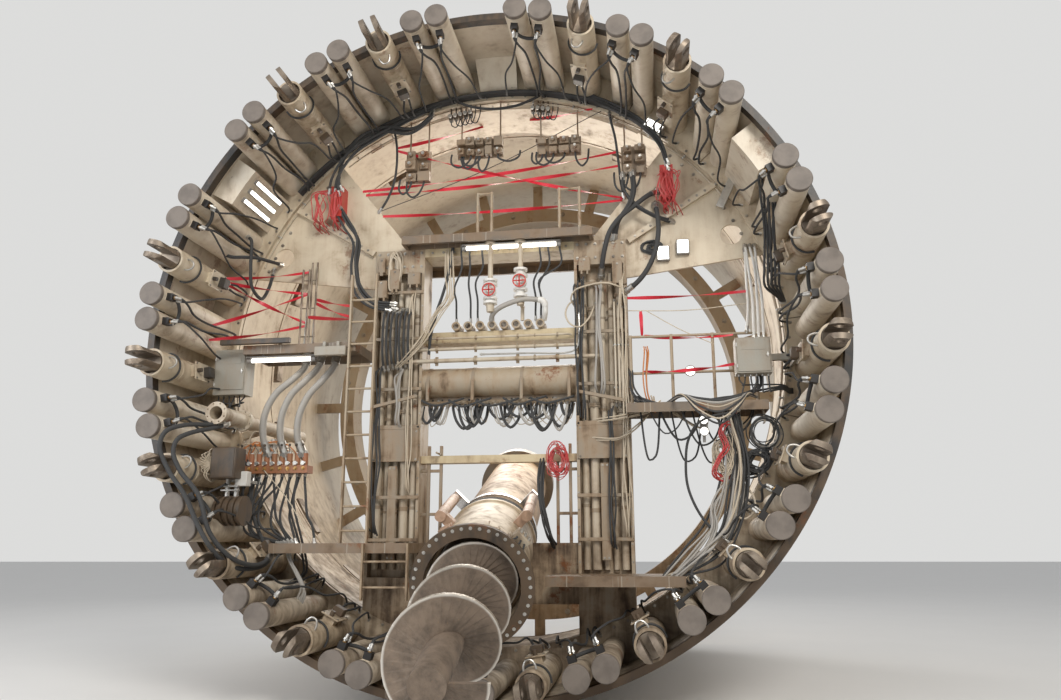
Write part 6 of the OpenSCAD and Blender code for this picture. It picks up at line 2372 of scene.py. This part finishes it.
class SHIELD_OT_cabinets(bpy.types.Operator):
    """Puts doors, latches and cable glands on the control boxes"""

    bl_idname = "shield.cabinets"
    bl_label = "Cabinets"

    GLANDS = 6
    # low x, high x, low z, high z, front y
    CABINETS = ((3.13, 3.56, 3.88, 4.33, 0.65), (-3.80, -3.35, 3.85, 4.38, 0.65))

    def execute(self, context):
        doors = Shape()
        metal = Shape()
        cables = []
        rng = random.Random(59)
        for low_x, high_x, low_z, high_z, front in self.CABINETS:
            doors.brick((low_x + 0.015, front - 0.012, low_z + 0.015),
                        (high_x - 0.015, front + 0.002, high_z - 0.015), bevel=0.004)
            doors.brick((low_x + 0.07, front - 0.016, high_z - 0.16),
                        (high_x - 0.07, front - 0.011, high_z - 0.07), bevel=0)
            for z in (low_z + 0.09, high_z - 0.09):
                metal.drum((low_x + 0.012, front - 0.010, z - 0.022),
                           (low_x + 0.012, front - 0.010, z + 0.022), 0.008, sides=10)
            latch_x = high_x - 0.045
            mid = (low_z + high_z) / 2
            metal.drum((latch_x, front - 0.011, mid), (latch_x, front - 0.030, mid), 0.014)
            metal.brick((latch_x - 0.007, front - 0.034, mid - 0.03),
                        (latch_x + 0.007, front - 0.026, mid + 0.03), bevel=0.002)
            for i in range(self.GLANDS):
                x = low_x + (high_x - low_x) * (i + 0.5) / self.GLANDS
                metal.drum((x, front + 0.10, low_z + 0.004), (x, front + 0.10, low_z - 0.028),
                           0.016, sides=8)
                drop = rng.uniform(0.10, 0.26)
                side = math.copysign(1, x)
                cables.append((0.010, [
                    (x, front + 0.10, low_z - 0.02), (x, front + 0.10, low_z - 0.07),
                    (x + rng.uniform(-0.05, 0.05), front + 0.06, low_z - drop),
                    (x + side * 0.04, front + 0.16, low_z - drop * 0.9),
                    (side * 3.74, 1.02, low_z - 0.10 - 0.012 * i),
                    (side * 3.82, 1.15, low_z - 0.12 - 0.012 * i),
                    (side * 3.89, 1.29, low_z - 0.10 - 0.012 * i),
                ]))
        doors.keep("cabinet_doors", "cabinet_grey")
        metal.keep("cabinet_metal", "fitting_steel")
        hoses("cabinet_cables", cables, "hose_rubber")
        return {"FINISHED"}


class SHIELD_OT_screw_gear(bpy.types.Operator):
    """Fits lugs, a valve box and bolts to the screw conveyor"""

    bl_idname = "shield.screw_gear"
    bl_label = "Screw gear"

    SEAL_BOLTS = 24

    def execute(self, context):
        self.lugs()
        self.valve_box()
        self.seal_bolts()
        return {"FINISHED"}

    @staticmethod
    def turned(degrees):
        """Frame on the screw's casing: Z outwards, Y along the screw."""
        angle = math.radians(degrees)
        outward = Vector((math.sin(angle), -math.cos(angle), 0))
        turn = Matrix((UP.cross(outward), UP, outward)).transposed()
        return SCREW_FRAME @ turn.to_4x4()

    def lugs(self):
        """Lugs on the conveyor's casing."""
        place = self.turned(-27)
        lug = Shape()
        lug.brick((-0.075, 0.29, CASING_R - 0.01), (0.075, 0.33, CASING_R + 0.13), place)
        lug.brick((-0.075, 0.42, CASING_R - 0.01), (0.075, 0.46, CASING_R + 0.13), place)
        lug.brick((-0.10, 0.27, CASING_R - 0.015), (0.10, 0.48, CASING_R + 0.012), place)
        lug.drum((0, 0.28, CASING_R + 0.085), (0, 0.47, CASING_R + 0.085), 0.028, place)
        lug.keep("casing_lug", "retract_pink")
        place = self.turned(20)
        plates = Shape()
        for x in (-0.07, 0.055):
            plates.brick((x, 0.30, CASING_R - 0.01), (x + 0.018, 0.52, CASING_R + 0.11), place)
        plates.drum((-0.09, 0.41, CASING_R + 0.07), (0.09, 0.41, CASING_R + 0.07), 0.02, place)
        plates.keep("casing_plates", "haunch_cream")

    def valve_box(self):
        """Valve box with its hoses on the conveyor's casing."""
        place = self.turned(49)
        box = Shape()
        box.brick((-0.13, 0.37, CASING_R - 0.01), (0.13, 0.62, CASING_R + 0.07), place)
        box.brick((-0.10, 0.40, CASING_R + 0.07), (0.10, 0.59, CASING_R + 0.19), place, 0.008)
        box.keep("screw_valve", "pipe_cream")
        spots = []
        turn = place.to_3x3()
        loops = []
        for x in (-0.06, 0.0, 0.06):
            for y in (0.45, 0.54):
                spots.append((place @ Vector((x, y, CASING_R + 0.19)), turn @ UP, turn @ ACROSS, 0.016))
            loops.append((0.011, [place @ Vector(p) for p in (
                (x, 0.40, CASING_R + 0.13), (x, 0.34, CASING_R + 0.14),
                (x * 1.5, 0.29, CASING_R + 0.08), (x * 2, 0.33, CASING_R + 0.03),
                (x * 2.4, 0.42, CASING_R + 0.015))]))
        scatter("screw_valve_nuts", "bolt", spots, "fitting_steel")
        hoses("screw_valve_loops", loops, "hose_rubber", step=0.03)

    def seal_bolts(self):
        """Bolts round the conveyor's seal."""
        low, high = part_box("screw_seal")
        at = ((low + high) / 2 - SCREW_ORIGIN).dot(SCREW_DIRECTION)
        spots = []
        for i in range(self.SEAL_BOLTS):
            angle = math.tau * i / self.SEAL_BOLTS
            arm = Vector((math.cos(angle), math.sin(angle), 0)) * (CASING_R - 0.045)
            spots.append((SCREW_FRAME @ (arm + UP * (at - 0.11)), -SCREW_DIRECTION,
                          SCREW_TURN @ ACROSS, 0.016))
        scatter("seal_bolts", "bolt", spots, "bolt_steel")


class SHIELD_OT_lamps(bpy.types.Operator):
    """Replaces the plain lamps with housings and lit covers"""

    bl_idname = "shield.lamps"
    bl_label = "Lamps"

    def execute(self, context):
        housings = Shape()
        covers = Shape()
        self.tubes(housings, covers)
        self.lamps_and_glow_panels(housings, covers)
        self.rounds(housings, covers)
        piece = housings.keep("lamp_housings", "lamp_grey")
        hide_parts("lamps")
        covers.keep("lamp_and_panel_covers", "lamp_cover")
        return {"FINISHED"}

    @staticmethod
    def tubes(housings, covers):
        """Tube lamps under the walkway and the left deck."""
        for low_x, high_x, y, z in ((-0.48, 0.88, 1.17, 5.895), (-3.29, -2.37, 0.615, 4.245)):
            covers.drum((low_x, y, z), (high_x, y, z), 0.028)
            for end in (low_x - 0.02, high_x - 0.04):
                housings.drum((end, y, z), (end + 0.06, y, z), 0.034)
            housings.brick((low_x - 0.02, y - 0.05, z + 0.032), (high_x + 0.02, y + 0.05, z + 0.052))
            for x in (low_x + 0.2, high_x - 0.2):
                housings.brick((x - 0.01, y - 0.02, z + 0.05), (x + 0.01, y + 0.02, z + 0.075), bevel=0)

    @staticmethod
    def lamps_and_glow_panels(housings, covers):
        """Strip lamps of a bay, a square lamp on the right haunch, and two square panels whose glow is
        painted light from openings in the haunch.
        """
        place = ring_frame(bay_angle(3))
        for across in (-0.13, 0.02, 0.17):
            housings.brick((across - 0.035, 0.32, 3.972), (across + 0.035, 1.10, 4.005), place)
            covers.brick((across - 0.026, 0.34, 3.960), (across + 0.026, 1.08, 3.974), place, 0.006)
        place = ring_frame(math.radians(54.5))
        housings.brick((-0.145, 1.075, 3.79), (0.145, 1.285, 3.93), place, 0.012)
        covers.brick((-0.125, 1.062, 3.805), (0.125, 1.080, 3.915), place, 0.004)
        for x in (-0.10, 0.0, 0.10):
            housings.brick((x - 0.008, 1.055, 3.79), (x + 0.008, 1.08, 3.93), place, 0)
        # Painted light: these two glowing squares stand for light showing through openings in the haunch.
        for low_x, low_z in ((2.215, 5.615), (2.485, 5.695)):
            high_x = low_x + 0.18
            high_z = low_z + 0.215
            housings.brick((low_x, 1.275, low_z), (high_x, 1.345, high_z), bevel=0.01)
            covers.brick((low_x + 0.016, 1.262, low_z + 0.016), (high_x - 0.016, 1.277, high_z - 0.016))

    @staticmethod
    def rounds(housings, covers):
        """Round lamps on the right deck and its bracket."""
        for x, y, z, radius, depth in (
            (2.59, 1.17, 4.029, 0.074, 0.05),
            (2.70, 0.685, 3.308, 0.058, 0.05),
            (2.70, 0.685, 3.168, 0.058, 0.05),
        ):
            housings.drum((x, y + depth * 0.6, z), (x, y - depth * 0.4, z), radius * 0.7, end_radius=radius)
            housings.hoop((x, y - depth * 0.5, z), (0, 1, 0), radius, radius * 0.86, depth * 0.3)
            covers.drum((x, y - depth * 0.36, z), (x, y - depth * 0.56, z), radius * 0.85,
                        end_radius=radius * 0.7)
        housings.brick((2.682, 0.715, 3.04), (2.718, 0.751, 3.54), bevel=0.003)
        housings.brick((2.575, 1.20, 4.00), (2.605, 1.29, 4.05), bevel=0.003)
        housings.brick((2.65, 0.70, 3.22), (2.75, 0.72, 3.26), bevel=0.002)


# Panel and registration


STEPS = (
    "stage",
    "loose_hoses",
    "tapes",
    "finishes",
    "jack_fittings",
    "ram_fittings",
    "ring_lines",
    "bolts",
    "frame_lines",
    "upper_gear",
    "valve_stand",
    "right_gear",
    "cabinets",
    "screw_gear",
    "lamps",
)


class SHIELD_PT_dressing(bpy.types.Panel):
    """Lists the shield's settings and steps"""

    bl_idname = "SHIELD_PT_dressing"
    bl_label = "Middle shield"
    bl_space_type = "VIEW_3D"
    bl_region_type = "UI"
    bl_category = "Shield"

    def draw(self, context):
        chosen = context.scene.shield_dressing
        for name in chosen.bl_rna.properties.keys():
            if name not in ("rna_type", "name"):
                self.layout.prop(chosen, name)
        for step in STEPS:
            self.layout.operator("shield." + step)


CLASSES = (
    ShieldSettings,
    SHIELD_OT_stage,
    SHIELD_OT_tapes,
    SHIELD_OT_loose_hoses,
    SHIELD_OT_finishes,
    SHIELD_OT_jack_fittings,
    SHIELD_OT_ram_fittings,
    SHIELD_OT_ring_lines,
    SHIELD_OT_bolts,
    SHIELD_OT_frame_lines,
    SHIELD_OT_upper_gear,
    SHIELD_OT_valve_stand,
    SHIELD_OT_right_gear,
    SHIELD_OT_cabinets,
    SHIELD_OT_screw_gear,
    SHIELD_OT_lamps,
    SHIELD_PT_dressing,
)


def register():
    for found in CLASSES:
        bpy.utils.register_class(found)
    bpy.types.Scene.shield_dressing = PointerProperty(type=ShieldSettings)


def unregister():
    del bpy.types.Scene.shield_dressing
    for found in reversed(CLASSES):
        bpy.utils.unregister_class(found)


def main():
    register()
    for step in STEPS:
        getattr(bpy.ops.shield, step)()


if __name__ == "__main__":
    main()
